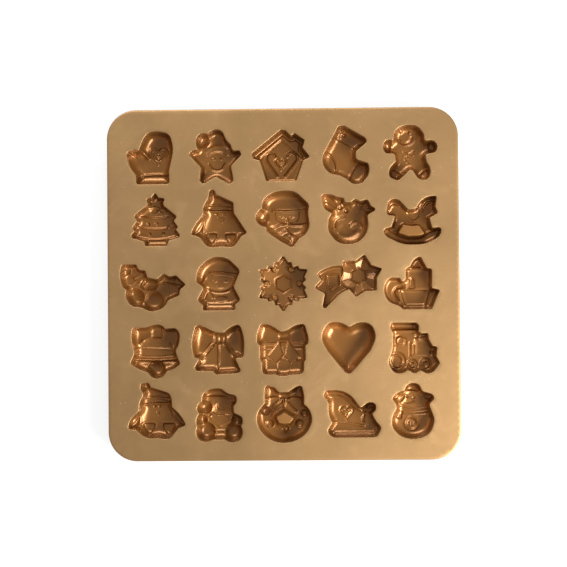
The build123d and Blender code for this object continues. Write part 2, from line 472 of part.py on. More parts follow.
def train():
    """Locomotive: roofed cab with a round window, boiler with its chimney, and three wheels with hubs."""
    mouth = [
        (-13.9, 15.1, 1.4), (1.2, 15.1, 1.6), (2.5, 13, 1.5), (2.3, 9.7, 0.8), (4, 8.6, 1),
        (7.8, 8.9, 1.2), (8.2, 5.2, 1.2), (10.4, 1.2, 1), (13.3, 0.6, 1.2), (12.6, -5, 1.5),
        (14.8, -9.2, 1.8), (10.8, -14.4, 5.1), (7.4, -15.5, 4.1), (3.2, -13.2, 1.5),
        (-0.2, -15.5, 2.5), (-4, -13, 1.5), (-7.6, -15.4, 6.7), (-12.8, -14.6, 5), (-16.4, -8.4, 6.6),
        (-13, -1.5, 17.8), (-12.9, 9.3, 1.5), (-14.6, 12.2, 1.5),
    ]
    roof = plain((-12.8, 13.6), (0.6, 13.6), (1, 10.8), (-12.8, 10.8))
    boiler = plain((-0.6, 5.4), (7.6, 5.4), (10.6, 0), (10.8, -4.4), (-0.6, -4.4))
    wheels = [disc(-11, -8.4, 5.2, 12), disc(-1.6, -10, 3.4), disc(6.4, -10, 4)]
    hubs = [disc(-11, -7.4, 2, 8), disc(-1.6, -9.6, 1.3, 6), disc(6.2, -9.6, 1.4, 6)]
    window = disc(-8.7, 4.5, 3.6) - disc(-8.7, 4.5, 2.4)
    sunk = [(face, DEEP) for face in wheels] + [(roof, FULL), (boiler, FULL)]
    return cell(4, 3, mouth, MIDDLE, sunk, [(face, FULL) for face in hubs] + [(window, SHALLOW)])


def penguin_chick():
    """Young penguin in a drooping hat: folded brim, beak, flippers held out and two pointed feet."""
    mouth = [
        (-7.6, 18.4, 1.7), (-3, 19.3, 1.6), (-1.6, 16.4, 2), (9.8, 12.7, 4.3), (11.1, 8, 14.6),
        (10.9, 4.6, 2), (16.5, -0.5, 26.7), (19.4, -6.5, 1.4), (14.6, -8.4, 1.2), (9.8, -14.3, 3.9),
        (6.5, -14.6, 11.3), (2, -13.9, 0), (-4.2, -15.3, 11.9), (-10.4, -9, 2), (-15.3, -8.6, 1.4),
        (-14.7, -3.7, 9.4), (-8.4, 2.6, 2.5), (-8.7, 6.6, 9.8), (-5.7, 12.2, 3), (-7.7, 15.4, 1.5),
    ]
    brim = plain((-6.6, 9.4), (0, 11), (9.2, 10.6), (9.6, 7.4), (-7, 6.4))
    feet = [webbed_foot(-2.6, -4.8, 7.4, 8), webbed_foot(9.2, -5, 7.6, 8)]
    beak = plain((1.2, 2.4), (4, 1.6), (3.2, -0.8))
    sunk = [(face, DEEP) for face in [brim, beak] + feet]
    flippers = [strip(-7.4, 2.2, -8, -6.6), strip(11.6, 1.6, 14.6, -7.4)]
    return cell(0, 4, mouth, FULL, sunk, [(line, MIDDLE) for line in flippers])


def teddy():
    """Seated teddy in a hat: round ear and muzzle, a bib with a point, two arms and two round feet."""
    mouth = [
        (-5.2, 15.2, 9), (1.5, 15.5, 5.8), (5.1, 12.2, 9.1), (10.4, 11.2, 2.5), (10.9, 6.8, 4.6),
        (8.8, 4.7, 1.5), (8.9, 0.8, 1.5), (14, -1.6, 3), (14.3, -5.4, 5.5), (13.2, -7.3, 1),
        (14.8, -10.6, 6.5), (12.6, -15.9, 4.9), (7, -17.3, 6.9), (3.5, -15.1, 1.5), (-3.5, -15.1, 1.5),
        (-7.5, -16.8, 6.7), (-12.5, -15, 4.6), (-14, -10, 7.6), (-12.8, -7, 1), (-14.3, -3.6, 6.1),
        (-11.7, 0.3, 1), (-13.5, 3, 3.8), (-11.7, 6.9, 3), (-10, 7.6, 1), (-9.8, 12, 5.3),
    ]
    rounds = [disc(-7.8, 4.2, 3.6), disc(1.2, 4, 3.4), disc(-7.2, -10.2, 4.8), disc(9, -10.6, 4.4)]
    bib = plain((-4.6, -0.8), (7.6, -0.8), (6.6, -4.2), (1.6, -7.2), (-2.8, -4.6))
    hat_edge = [strip(-8.4, 10.2, 8.8, 9.6)]
    sunk = [(face, DEEP) for face in rounds + [bib]]
    return cell(1, 4, mouth, FULL, sunk, [(line, MIDDLE) for line in hat_edge])


def wreath():
    """Wreath with a bow: a round ring with berries on it, and an island where the ring is open."""
    mouth = [
        (-11, 16.8, 1.6), (-6.1, 16.8, 6.3), (-3.4, 12.8, 2.5), (2.3, 12.9, 2), (7.3, 16.3, 7.4),
        (10.4, 16.8, 1.6), (11.9, 12, 22.3), (11.8, 5.6, 1.2), (15, 3.1, 10.5), (17, -4, 9.2),
        (13.4, -11.8, 14.1), (6.1, -16.6, 16.7), (-3, -17.6, 15.8), (-11.3, -13.8, 15),
        (-16.3, -6.7, 11), (-16.3, 0.8, 9.7), (-11.6, 6.3, 1.2), (-12, 11, 35.7),
    ]
    opening = [(-4.6, -1.6, 1), (0.2, 0.8, 1), (5.8, -2.6, 1), (3, -5.6, 1), (-3.2, -5.4, 1)]
    berry_at = ((-11, 1.4), (-8.8, -5.6), (0.4, -9.2), (9.2, -5.8), (12, 0.2))
    berries = [disc(x, y, 2.2, 8) for x, y in berry_at]
    ends = [
        plain((-1.4, 8.8), (-7, 3.6), (-3.8, -0.4), (0, 2)),
        plain((2.4, 8.6), (8, 1.8), (5.2, -0.8), (0.8, 2)),
    ]
    under = [strip(-9.6, 9.4, -1, 9.8), strip(1, 9.8, 10, 9)]
    sunk = [(face, DEEP) for face in berries + ends]
    raised = [(line, MIDDLE) for line in under] + [(face_of(opening), ISLAND)]
    return cell(2, 4, mouth, FULL, sunk, raised)


def sleigh():
    """Sleigh: a rolled rail along the back, a heart on the side, and a runner that curls up in front."""
    mouth = [
        (-14.6, 13.6, 1.8), (-6, 14, 14.5), (0.6, 11.1, 13), (6.4, 3.2, 1), (11.2, 7, 4.5),
        (15.6, 5.8, 2.5), (15.5, 1.4, 3.2), (13.2, -0.2, 1.2), (15.1, -4.5, 19.7), (18.9, -8.4, 3),
        (16, -14.2, 3), (-11.1, -14.3, 5), (-13.5, -10.3, 2.5), (-10.3, -5.3, 1.2),
        (-12.7, -1.5, 12.8), (-12.6, 6.5, 4), (-15.4, 10.7, 1.6),
    ]
    rail = [strip(-15, 10.2, -7.6, 10.4), strip(-8, 10.6, -2.6, 8.8)]
    rail += [strip(-3, 9.2, 4.4, 2.6), strip(4, 3, 9, 0.6)]
    seam = [strip(-11.4, -5.2, 8.6, -7.2)]
    bed = [strip(-10.6, -12, 13.6, -12)]
    channel = plain((-11, -7.4), (14, -8.6), (14, -10.8), (-11, -10.4))
    sunk = [(heart(-2.4, 0.2, 7, 7.4), DEEP), (channel, DEEP)]
    return cell(3, 4, mouth, FULL, sunk, [(line, MIDDLE) for line in rail + seam + bed])


def snowman():
    """Snowman in a brimmed hat: crown and brim, a crossed scarf, and a large round button."""
    mouth = [
        (-5, 16.7, 3.6), (-2.5, 17.9, 4.9), (1.8, 17.5, 3.8), (4.2, 12.9, 2), (10.3, 11.1, 3.2),
        (11.2, 8.4, 1.6), (8, 5.2, 2), (9.4, 1.2, 3), (11.4, -4, 7.3), (8.7, -12.5, 8.8),
        (0, -15.9, 14.9), (-9.1, -14, 11.2), (-14.4, -8, 7.5), (-13.7, -1, 11.5), (-11, 2.8, 3),
        (-11.8, 6, 1.5), (-14, 8.4, 1.6), (-11.3, 12.3, 8.5), (-6.8, 13.2, 1),
    ]
    crown = plain((-4.6, 14.4), (-2.4, 16), (1.2, 15.8), (3, 13.8), (-5, 13.6))
    button = disc(-2.5, -6, 4, 12) - disc(-2.5, -6, 3, 12)
    scarf = [strip(-10.6, 4.6, 0, 1.6, 1.6), strip(-8.6, 1, 8.4, 1, 1.6)]
    brim = [strip(-12, 8.6, -5, 12.2), strip(-5.4, 12.4, 3.6, 11.8)]
    sunk = [(crown, DEEP), (button, DEEP)] + [(line, DEEP) for line in scarf]
    return cell(4, 4, mouth, FULL, sunk, [(line, MIDDLE) for line in brim])


CELLS = {
    "mitten_cell": mitten,
    "star_cell": star,
    "house_cell": house,
    "stocking_cell": stocking,
    "gingerbread_cell": gingerbread,
    "tree_cell": tree,
    "penguin_cell": penguin,
    "bearded_man_cell": bearded_man,
    "bauble_cell": bauble,
    "rocking_horse_cell": rocking_horse,
    "holly_cell": holly,
    "hatted_child_cell": hatted_child,
    "snowflake_cell": snowflake,
    "comet_cell": comet,
    "candle_cell": candle,
    "bell_cell": bell,
    "bow_cell": bow,
    "gift_cell": gift,
    "heart_cell": heart_pillow,
    "train_cell": train,
    "penguin_chick_cell": penguin_chick,
    "teddy_cell": teddy,
    "wreath_cell": wreath,
    "sleigh_cell": sleigh,
    "snowman_cell": snowman,
}

os.makedirs("parts", exist_ok=True)
for name, make in CELLS.items():
    export_step(make(), f"parts/{name}.step")
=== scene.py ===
import math

import bpy
import numpy as np
from mathutils import Euler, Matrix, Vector
from mathutils.geometry import delaunay_2d_cdt


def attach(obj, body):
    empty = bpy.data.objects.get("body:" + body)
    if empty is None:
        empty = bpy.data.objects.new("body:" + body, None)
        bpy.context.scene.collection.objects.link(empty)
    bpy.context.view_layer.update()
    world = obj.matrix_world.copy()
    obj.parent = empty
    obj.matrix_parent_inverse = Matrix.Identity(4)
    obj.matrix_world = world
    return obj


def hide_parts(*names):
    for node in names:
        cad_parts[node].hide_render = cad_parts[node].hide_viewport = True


# A square silicone chocolate mould with 25 festive pockets. Each cell of the frame is one pocket with its
# own piece of the sheet, and gets one closed mesh here. Motifs are drawn in millimetres from their
# pocket's centre, as they look from above, and everything that leaves this script is in metres.

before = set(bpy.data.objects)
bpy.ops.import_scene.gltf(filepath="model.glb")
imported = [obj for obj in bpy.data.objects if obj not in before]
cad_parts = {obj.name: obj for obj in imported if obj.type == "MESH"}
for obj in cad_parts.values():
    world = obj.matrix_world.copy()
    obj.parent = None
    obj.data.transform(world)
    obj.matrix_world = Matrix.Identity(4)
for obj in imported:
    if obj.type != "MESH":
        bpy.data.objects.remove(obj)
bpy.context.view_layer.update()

MM = 0.001

# The moulding, in millimetres
HALF_SIDE = 105.0
CORNER = 17.5
TOP = 12.0
SHEET = 2.0
WALL = 1.4
ISLAND = 1.2
EDGE = 0.9
LIP = 0.36
LEAN = 0.85
SHELL_JOINT = 1.0
SHELL_FOOT = 1.6

# Depths of the pocket floors below the top face
MIDDLE = 8.3
FULL = 9.2
DEEP = 10.2

# How finely the surfaces are divided
ALONG = 0.32
FLOOR_GRID = 0.3
WEB_GRID = 2.4
SEAM_STEP = 0.6

# The camera stands over the mould, a little off its centre
CAMERA_AT = (19.1, -14.6, 812.0)
CAMERA_TURN = (1.06, 1.361, -0.479)
CAMERA_LENS = 85.29

COLUMN_AT = (-78.0, -39.0, 0.0, 39.0, 78.0)
ROW_AT = (77.2, 38.6, 0.0, -38.6, -77.2)


# Outlines

def rounded(corners):
    """Closed outline through corners (x, y, r), with each corner as an arc where its sides leave room."""
    count = len(corners)
    places = [Vector(c[:2]) for c in corners]
    half_turns = []
    for i, here in enumerate(places):
        back = (places[i - 1] - here).normalized()
        ahead = (places[(i + 1) % count] - here).normalized()
        half_turns.append((math.pi - back.angle(ahead)) / 2)
    cuts = [max(c[2], 0.12) * math.tan(h) for c, h in zip(corners, half_turns)]
    points = []
    for i, here in enumerate(places):
        back, ahead = places[i - 1] - here, places[(i + 1) % count] - here
        room = min(
            1.0,
            0.98 * back.length / (cuts[i] + cuts[i - 1]),
            0.98 * ahead.length / (cuts[i] + cuts[(i + 1) % count]),
        )
        radius = max(corners[i][2], 0.12) * room
        start = here + back.normalized() * cuts[i] * room
        end = here + ahead.normalized() * cuts[i] * room
        middle = here + (back.normalized() + ahead.normalized()).normalized() * math.hypot(radius,
                                                                                           cuts[i] * room)
        first = math.atan2(*(start - middle).yx)
        sweep = (math.atan2(*(end - middle).yx) - first + math.pi) % math.tau - math.pi
        steps = max(2, math.ceil(abs(sweep) / min(0.12, 0.3 / radius)))
        for k in range(steps + 1):
            angle = first + sweep * k / steps
            points.append((middle.x + radius * math.cos(angle), middle.y + radius * math.sin(angle)))
    return np.array(points)


def inside_of(outline, x, y):
    """Distance of points from a closed outline, positive inside it."""
    nearest = np.full(x.shape, 1e9)
    crossed = np.zeros(x.shape, int)
    for (ax, ay), (bx, by) in zip(outline, np.roll(outline, -1, 0)):
        dx, dy = bx - ax, by - ay
        along = np.clip(((x - ax) * dx + (y - ay) * dy) / max(dx * dx + dy * dy, 1e-12), 0, 1)
        nearest = np.minimum(nearest, (x - ax - along * dx) ** 2 + (y - ay - along * dy) ** 2)
        if dy:
            crossed += ((ay <= y) != (by <= y)) & (x < ax + (y - ay) * dx / dy)
    return np.where(crossed % 2, 1, -1) * np.sqrt(nearest)


def smooth_line(points):
    """A curve through points, as many short runs."""
    way = [Vector(p) for p in points]
    way = [2 * way[0] - way[1]] + way + [2 * way[-1] - way[-2]]
    runs = []
    for a, b, c, d in zip(way, way[1:], way[2:], way[3:]):
        for t in (0, 0.2, 0.4, 0.6, 0.8):
            bend = (2 * a - 5 * b + 4 * c - d) * t ** 2 + (3 * b - a - 3 * c + d) * t ** 3
            runs.append(b + ((c - a) * t + bend) / 2)
    return runs + [way[-2]]


class Plan:
    """Points of a cell seen from above, in a motif's own millimetres, and their distances from shapes."""

    def __init__(self, x, y, mouth):
        self.x = x
        self.y = y
        self.mouth = mouth

    def disc(self, x, y, radius):
        return radius - np.hypot(self.x - x, self.y - y)

    def oval(self, x, y, across, high, turn=0.0):
        cos, sin = math.cos(math.radians(turn)), math.sin(math.radians(turn))
        u = ((self.x - x) * cos + (self.y - y) * sin) / across
        v = ((self.y - y) * cos - (self.x - x) * sin) / high
        return (1 - np.hypot(u, v)) * min(across, high)

    def patch(self, *corners, r=0.6):
        return inside_of(rounded([(x, y, r) for x, y in corners]), self.x, self.y)

    def heart(self, x, y, width, height):
        t = np.arange(0, math.tau, math.tau / 48)
        across = x + width / 2 * np.sin(t) ** 3
        up = y + height * (13 * np.cos(t) - 5 * np.cos(2 * t) - 2 * np.cos(3 * t) - np.cos(4 * t) + 2.5) / 29
        return inside_of(np.stack([across, up], 1), self.x, self.y)

    def line(self, *points):
        nearest = np.full(self.x.shape, 1e9)
        way = smooth_line(points)
        for a, b in zip(way, way[1:]):
            run = b - a
            along = ((self.x - a.x) * run.x + (self.y - a.y) * run.y) / max(run.length_squared, 1e-9)
            along = np.clip(along, 0, 1)
            nearest = np.minimum(nearest, np.hypot(self.x - a.x - along * run.x,
                                                   self.y - a.y - along * run.y))
        return nearest

    def lines(self, ways, height, width=0.5):
        """Soft lines through points, each as a crease."""
        return sum(crease(self.line(*way), height, width) for way in ways)

    def dots(self, places, radius, height):
        """Small round pimples, or pits where the height is negative."""
        return sum(swell(self.disc(x, y, radius), height, radius * 0.95) for x, y in places)

    def left_of(self, x1, y1, x2, y2):
        """Distance to the left of a straight line that runs from one point to another."""
        return ((x2 - x1) * (self.y - y1) - (y2 - y1) * (self.x - x1)) / math.hypot(x2 - x1, y2 - y1)


# Forms on a pocket floor: what they add to its depth, from a distance inside a shape or from a line

def both(*distances):
    return np.minimum.reduce(distances)


def either(*distances):
    return np.maximum.reduce(distances)


def swell(distance, height, reach):
    """A pillow that rises steeply from the shape's edge and is full where it is reach inside."""
    return height * (1 - (1 - np.clip(distance / reach, 0, 1)) ** 2.4)


def raise_by(distance, height, slope=0.7):
    """A flat-topped form with short rounded sides."""
    t = np.clip(distance / slope + 0.5, 0, 1)
    return height * t * t * (3 - 2 * t)


def crease(distance, height=-0.7, width=0.55):
    """A soft line: a groove in the chocolate where the height is negative, and a rib where it is not."""
    return height * np.exp(-(distance / width) ** 2)
# The motifs: each gives its mouth, its floor's depth, how round the foot of its wall is, and any island

def mitten():
    mouth = [
        (4.3, 15.1, 15.1), (10.7, 13.3, 5.4), (13.1, 4.5, 18.1), (10.1, -9.3, 1.5), (10.5, -16.8, 1.8),
        (-9.6, -16.8, 1.8), (-9.8, -11, 1.5), (-14.7, -4.9, 19.2), (-15.2, 2.6, 2.2), (-10.9, 4.2, 1.2),
        (-8, 3.4, 1), (-5.1, 10.8, 13.1), (-1.9, 14.5, 5.8),
    ]

    def floor(p):
        depth = FULL + swell(p.mouth, 0.9, 10)
        depth += p.lines([[(-7.4, 3.5), (-4.8, 2), (-2.2, -1.2)]], -1.9, 0.9)
        depth += p.lines([[(-5.6, -11.8), (2, -11.2), (10.6, -11.4)]], -1.0, 0.65)
        emblem = p.heart(4, -0.3, 11.6, 10.8)
        depth += raise_by(emblem, 0.9, 0.9) + crease(emblem - 1.8, -0.5, 0.5)
        marks = [[(1.4, 3), (3, 1.6)], [(1.6, 1.2), (3.4, 0.2)], [(5, 1.4), (6.6, 3)], [(4.6, 0), (6.4, 1.4)]]
        return depth + p.lines(marks, 0.45, 0.4) + p.lines([[(2.4, -1.8), (4, -2.6), (5.6, -1.8)]], 0.4, 0.4)

    return dict(mouth=mouth, floor=floor, foot=4.4)


def star():
    mouth = [
        (-1, 16.1, 5), (3.5, 14.7, 4.5), (5.3, 9.2, 11.8), (8.2, 6.6, 1.5), (9.3, 3, 1.2), (13.6, 3, 1.4),
        (14.6, 0.3, 1.4), (8.3, -6.4, 2), (9.9, -15, 1.8), (7.6, -17.2, 1.6), (-1, -12.6, 2.5),
        (-8.6, -17.1, 1.8), (-10.6, -14.6, 1.6), (-9.6, -7, 2), (-17, 0.9, 1.5), (-15, 3, 1.6),
        (-11.4, 3.9, 1), (-13.2, 8.5, 7), (-10.6, 13.6, 3.4), (-6, 13.2, 1.5),
    ]

    def floor(p):
        hat = p.patch((-6, 3.4), (0.4, 5), (7.2, 3.4), (12, 8), (4, 18), (-3.2, 18), (-6, 11), r=1)
        tassel = p.disc(-8.4, 8.8, 4.3)
        depth = FULL - 0.7 + swell(p.mouth, 0.7, 6)
        depth += swell(both(hat, -tassel), 1.2, 4.5) + swell(both(p.mouth, tassel), 1.2, 3.6)
        depth += p.lines([[(-5.6, 0.8), (-3, 2.5), (0.4, 3.2), (4, 2.4), (6.4, 0.6)]], 0.5, 1.1)
        depth += p.lines([[(-5.4, -0.6), (0.4, 1.4), (6, -0.8)]], -0.25, 0.5)
        depth += p.lines([[(-4.7, -5.2), (-3, -8), (0.2, -9.1), (3.2, -8), (4.8, -5.2)]], 0.7, 0.65)
        return depth + p.dots([(-1.8, -2.2), (2.6, -2.2)], 0.9, 0.7)

    return dict(mouth=mouth, floor=floor, foot=2.3)


def house():
    mouth = [
        (-0.7, 15.2, 1.8), (2, 14.7, 1.6), (5.3, 11.3, 0.6), (7.3, 13.2, 1.2), (13.6, 8.8, 1.2),
        (12.2, 4.2, 1), (16.9, -1.6, 1.2), (12.7, -3.2, 1), (8.3, -15.7, 1.5), (-9.6, -15.7, 1.5),
        (-13.5, -3.1, 1), (-17.2, -2.2, 1.3), (-18.4, 0.9, 1.3),
    ]

    def floor(p):
        front = p.patch((-0.3, 8.7), (12.2, -3), (12, -20), (-12, -20), (-13.6, -2.6), r=0.4)
        depth = DEEP - 1.2 + raise_by(front, 0.7, 0.8) + crease(both(p.mouth - 2.1, -front), 0.7, 0.55)
        depth += crease(front, -0.3, 0.5)
        canes = [[(-4.1, -1), (-5, 0.5), (-6.8, 1), (-8.8, 0), (-9.4, -2.4), (-8.6, -4.6), (-3, -12.8)],
                 [(3, -1), (3.8, 0.6), (5.6, 1.2), (8.2, 0.4), (9.2, -2), (8.4, -4.4), (1.8, -12.8)]]
        depth += p.lines(canes, 1.1, 0.7)
        heart_panel = p.heart(-0.8, -5.7, 7, 6.8)
        return depth + crease(heart_panel, 0.7, 0.5) - crease(heart_panel - 1.3, 0.4, 0.45)

    return dict(mouth=mouth, floor=floor, foot=1.2)


def stocking():
    mouth = [
        (-5.3, 16.8, 1.8), (-2, 17.2, 1.8), (10.6, 9.9, 4.3), (11.9, 7.3, 1.8), (5, 1.5, 1.6), (5, -3, 2),
        (12.4, -5.4, 2.5), (13.5, -11.6, 8.4), (8.4, -17.7, 5.3), (3.5, -18.1, 6), (-3.4, -12.7, 15.3),
        (-10.9, -11.6, 8.9), (-15.4, -5.5, 8.4), (-14.4, 0, 0),
    ]

    def floor(p):
        cuff = p.left_of(-8.5, 9.4, 5.5, 1.7)
        depth = FULL - 0.2 + swell(p.mouth, 0.7, 8) + raise_by(cuff, 0.4, 0.8) - crease(cuff, 0.5, 0.5)
        seams = [[(-12.4, 0.6), (-9.4, -1.8), (-7.4, -4.6), (-6.7, -7.6), (-6.8, -11.6)],
                 [(5.2, -6.4), (3.4, -9.4), (0.8, -14.6)]]
        depth += p.lines(seams, -0.8, 0.55)
        return depth + p.lines([[(-4.4, 9.6), (-4, 11.4), (-2.4, 12.6)]], -0.6, 0.7) + p.dots([(-1.8, 11)],
                                                                                              1.1, 0.8)

    return dict(mouth=mouth, floor=floor, foot=3.7)


def gingerbread():
    mouth = [
        (-4.5, 17.4, 11.8), (2.9, 16.8, 7.1), (7, 11, 4.5), (6.5, 7.6, 1.2), (12.2, 8.1, 3.7),
        (14.9, 4.5, 4), (13.6, 0.6, 2), (7, -0.6, 2), (8.3, -5.5, 1.5), (11.2, -10, 7.6), (9, -15.7, 3),
        (3.5, -15.9, 5.3), (-1, -8.8, 1.5), (-6, -13.8, 40), (-9, -16.3, 2.5), (-14.2, -14, 3),
        (-14.7, -9.2, 6.2), (-10.3, -4.5, 1.5), (-10.8, 0.2, 1.5), (-16.4, 0, 3), (-18.5, 5, 4.4),
        (-15.5, 8.8, 3), (-11.5, 7.8, 1.2), (-11, 14.1, 6.2),
    ]

    def floor(p):
        face = p.disc(-4, 10.4, 6.2)
        depth = FULL - 0.9 + swell(p.mouth, 0.8, 6) + raise_by(face, 0.4, 1.4)
        depth += p.lines([[(-8.7, 8.8), (-7.2, 6.6), (-4.6, 5.8), (-2, 6.8), (-0.6, 9.4)]], 0.8, 0.7)
        depth += p.dots([(-7.1, 12.6), (-1.9, 12.1)], 1.1, -0.9)
        bow = either(
            p.patch((-6.2, 1.2), (-2.9, -0.2), (-2.9, -1.2), (-6, -2.2), r=0.4),
            p.patch((0.9, 1.9), (-2.5, 0), (-2.5, -1), (0.4, -1.6), r=0.4),
        )
        depth += raise_by(bow, 0.7, 0.6) + p.dots([(-4.7, -4.6), (-3.2, -6.6), (-3.5, -2.6)], 0.9, 0.8)
        bands = [[(-12, 8), (-12.8, 4), (-13.8, 0)], [(8, 7.6), (8.4, 3), (8.6, -1)],
                 [(-13.6, -9), (-10, -10.6), (-6.6, -12.8)], [(3.8, -12.6), (6.6, -10.4), (10, -9.6)]]
        return depth + p.lines(bands, -0.7, 0.55)

    return dict(mouth=mouth, floor=floor, foot=3.2)


def tree():
    mouth = [
        (1.7, 17, 0.9), (3.6, 14, 0.8), (7.9, 13.2, 1), (6.6, 11, 0.6), (6.9, 9, 0.8), (14.9, 2.3, 1.4),
        (12.8, -0.3, 0.6), (15.6, -4.2, 1.4), (14, -5.5, 0.6), (17.4, -9.8, 1.6), (9.6, -12.1, 0.8),
        (8.6, -15.2, 1), (-4.4, -15.2, 1), (-5, -12.4, 0.8), (-13.9, -9.9, 1.6), (-10.6, -6, 0.6),
        (-12.2, -4.2, 1.2), (-9.1, -0.2, 0.6), (-11, 3.1, 1.2), (-2.6, 9.7, 0.8), (-3.5, 13.2, 1),
        (-0.4, 13.9, 0.6),
    ]

    def floor(p):
        bend = 0.012 * (p.x - 2) ** 2
        depth = FULL - 0.9 + swell(p.mouth, 0.5, 6)
        for low in (1.5, -5.1, -11.4):
            above = p.y - low - bend
            depth += crease(above, -0.7, 0.6) + 0.5 * np.clip(1 - above / 5, 0, 1) * (above > 0)
        star = p.patch((1.7, 17), (3.2, 13.6), (7.6, 13), (5.2, 10.6), (6, 7), (1.7, 8.4), (-2.4, 7.2),
                       (-1, 10.8),
                       (-3.4, 13.2), (0.2, 13.8), r=0.3)
        depth += raise_by(star, 0.9, 0.8)
        loops = [p.oval(1.5, 6, 2.6, 1.5, 24), p.oval(6.3, 6, 2.6, 1.5, -24)]
        depth += raise_by(either(*loops), 0.6, 0.6) - p.dots([(3.9, 5.6)], 1.1, 0.5)
        places = [(-1.5, -8.1), (6.9, -8), (-2.2, -2.2), (2.8, -2), (10, -4)]
        return depth + p.dots(places, 1.1, 0.9)

    return dict(mouth=mouth, floor=floor, foot=2.2)


def webbed_foot(p, x, y, width, length):
    low = y - length
    side = width / 2
    foot = p.patch((x - side, y), (x + side, y), (x + 0.9 * side, y - 0.4 * length), (x, low),
                   (x - 0.9 * side, y - 0.4 * length), r=1)
    return raise_by(foot, 0.9, 1.3) + crease(foot, -0.5, 0.6)


def penguin():
    mouth = [
        (-4.6, 18.6, 1.7), (-1.9, 17.9, 1.6), (-0.5, 15.3, 2), (9.6, 10.6, 2), (9.9, 4, 3),
        (17.8, -7.9, 1.2), (14.2, -9.8, 1.5), (9.3, -16.7, 6), (2, -15.5, 29.7), (-5.7, -16.8, 6.4),
        (-10.4, -10.3, 3), (-16, -8.4, 1.2), (-13.7, -2.9, 30), (-8.6, 3, 3), (-8.4, 8.5, 9.3),
        (-5.2, 13, 10.8),
    ]

    def floor(p):
        tilt = p.y + 0.04 * p.x
        body = p.patch((-5.6, 4.6), (8.2, 4.6), (9.6, -3), (9, -14), (-8, -14), (-7.6, -5), r=3)
        depth = FULL - 0.8 + swell(p.mouth, 0.5, 7) + swell(both(p.mouth, body), 1.3, 5)
        depth += swell(both(p.mouth, tilt - 5.2, 8.4 - tilt), 0.9, 1.5) + crease(tilt - 8.5, -0.4, 0.5)
        depth += crease(tilt - 5.1, -0.6, 0.55)
        depth += p.lines([[(-7.6, 0.8), (-9.6, -2.6), (-12.4, -6.8)], [(-7.4, 0.4), (-8.6, -7)]], -0.7, 0.55)
        depth += webbed_foot(p, -3.6, -7.9, 7, 7.4) + webbed_foot(p, 7.9, -8.3, 7, 7)
        depth += raise_by(p.patch((-0.2, 1.6), (4.4, 1.2), (2.8, -2), r=0.3), 0.6, 0.6)
        return depth + p.dots([(-0.4, 3.4), (4.2, 3)], 0.9, 0.7)

    return dict(mouth=mouth, floor=floor, foot=3.3)


def bearded_man():
    mouth = [
        (0.5, 17.4, 22.7), (7.6, 16.9, 9.4), (16, 8.7, 4.2), (15, 4, 15.6), (16.2, -4.5, 8.1),
        (13.1, -9.7, 7.4), (9.6, -11.5, 8.6), (5.8, -17, 1.6), (-1.5, -13, 40), (-9.9, -7, 2.5),
        (-9.6, -4.4, 1), (-13.9, -3.9, 6.1), (-16.8, 1, 4), (-14, 5.8, 3.3), (-12.4, 6.5, 1),
        (-11.7, 12.5, 7.4), (-5.5, 16.4, 14),
    ]

    def floor(p):
        tassel = p.disc(-12.2, 1.2, 4.6)
        hat = both(p.mouth, p.y - 4.8)
        face = p.patch((-4.6, 4.4), (10.2, 4.4), (9.2, -1), (2.8, -2.8), (-3.6, -1), r=1.4)
        depth = FULL - 0.5 + swell(p.mouth, 0.5, 7) + swell(both(hat, -tassel), 0.8, 5)
        depth += swell(both(p.mouth, tassel), 1.0, 4) - raise_by(face, 0.5, 0.9)
        depth += p.lines([[(-5.6, 5), (2, 4.6), (11.4, 5)]], -0.7, 0.6)
        depth += p.lines([[(-9, -5), (-5, -4.8), (-2, -3.4), (1.8, -2.8)]], 1.0, 0.75)
        depth += p.lines([[(3.8, -2.8), (6.4, -3.6), (10, -3.6), (14.4, -3)]], 0.9, 0.75)
        depth += p.lines([[(3, -5.4), (5.4, -8.4), (9.4, -9.6), (12.6, -8.2)]], -0.7, 0.6)
        depth += p.lines([[(-9.4, -7), (-6, -9), (-2, -8.8), (1.4, -6.4)]], -0.7, 0.6)
        depth += p.lines([[(-1.4, -10.8), (0.6, -9.4), (2.6, -8.4)], [(-0.4, -11.4), (2.4, -13), (4.4, -15)],
                          [(4, -10.4), (5.4, -12.6), (5, -15)]], -0.4, 0.6)
        depth += swell(p.oval(2.8, -0.9, 1.1, 1.6), 0.9, 1.1)
        eyes = [[(-1.3, 1.5), (-0.2, 1), (0.9, 1.5)], [(4.7, 1.5), (5.8, 1), (6.9, 1.5)]]
        return depth + p.lines(eyes, 0.35, 0.45)

    return dict(mouth=mouth, floor=floor, foot=4.2)


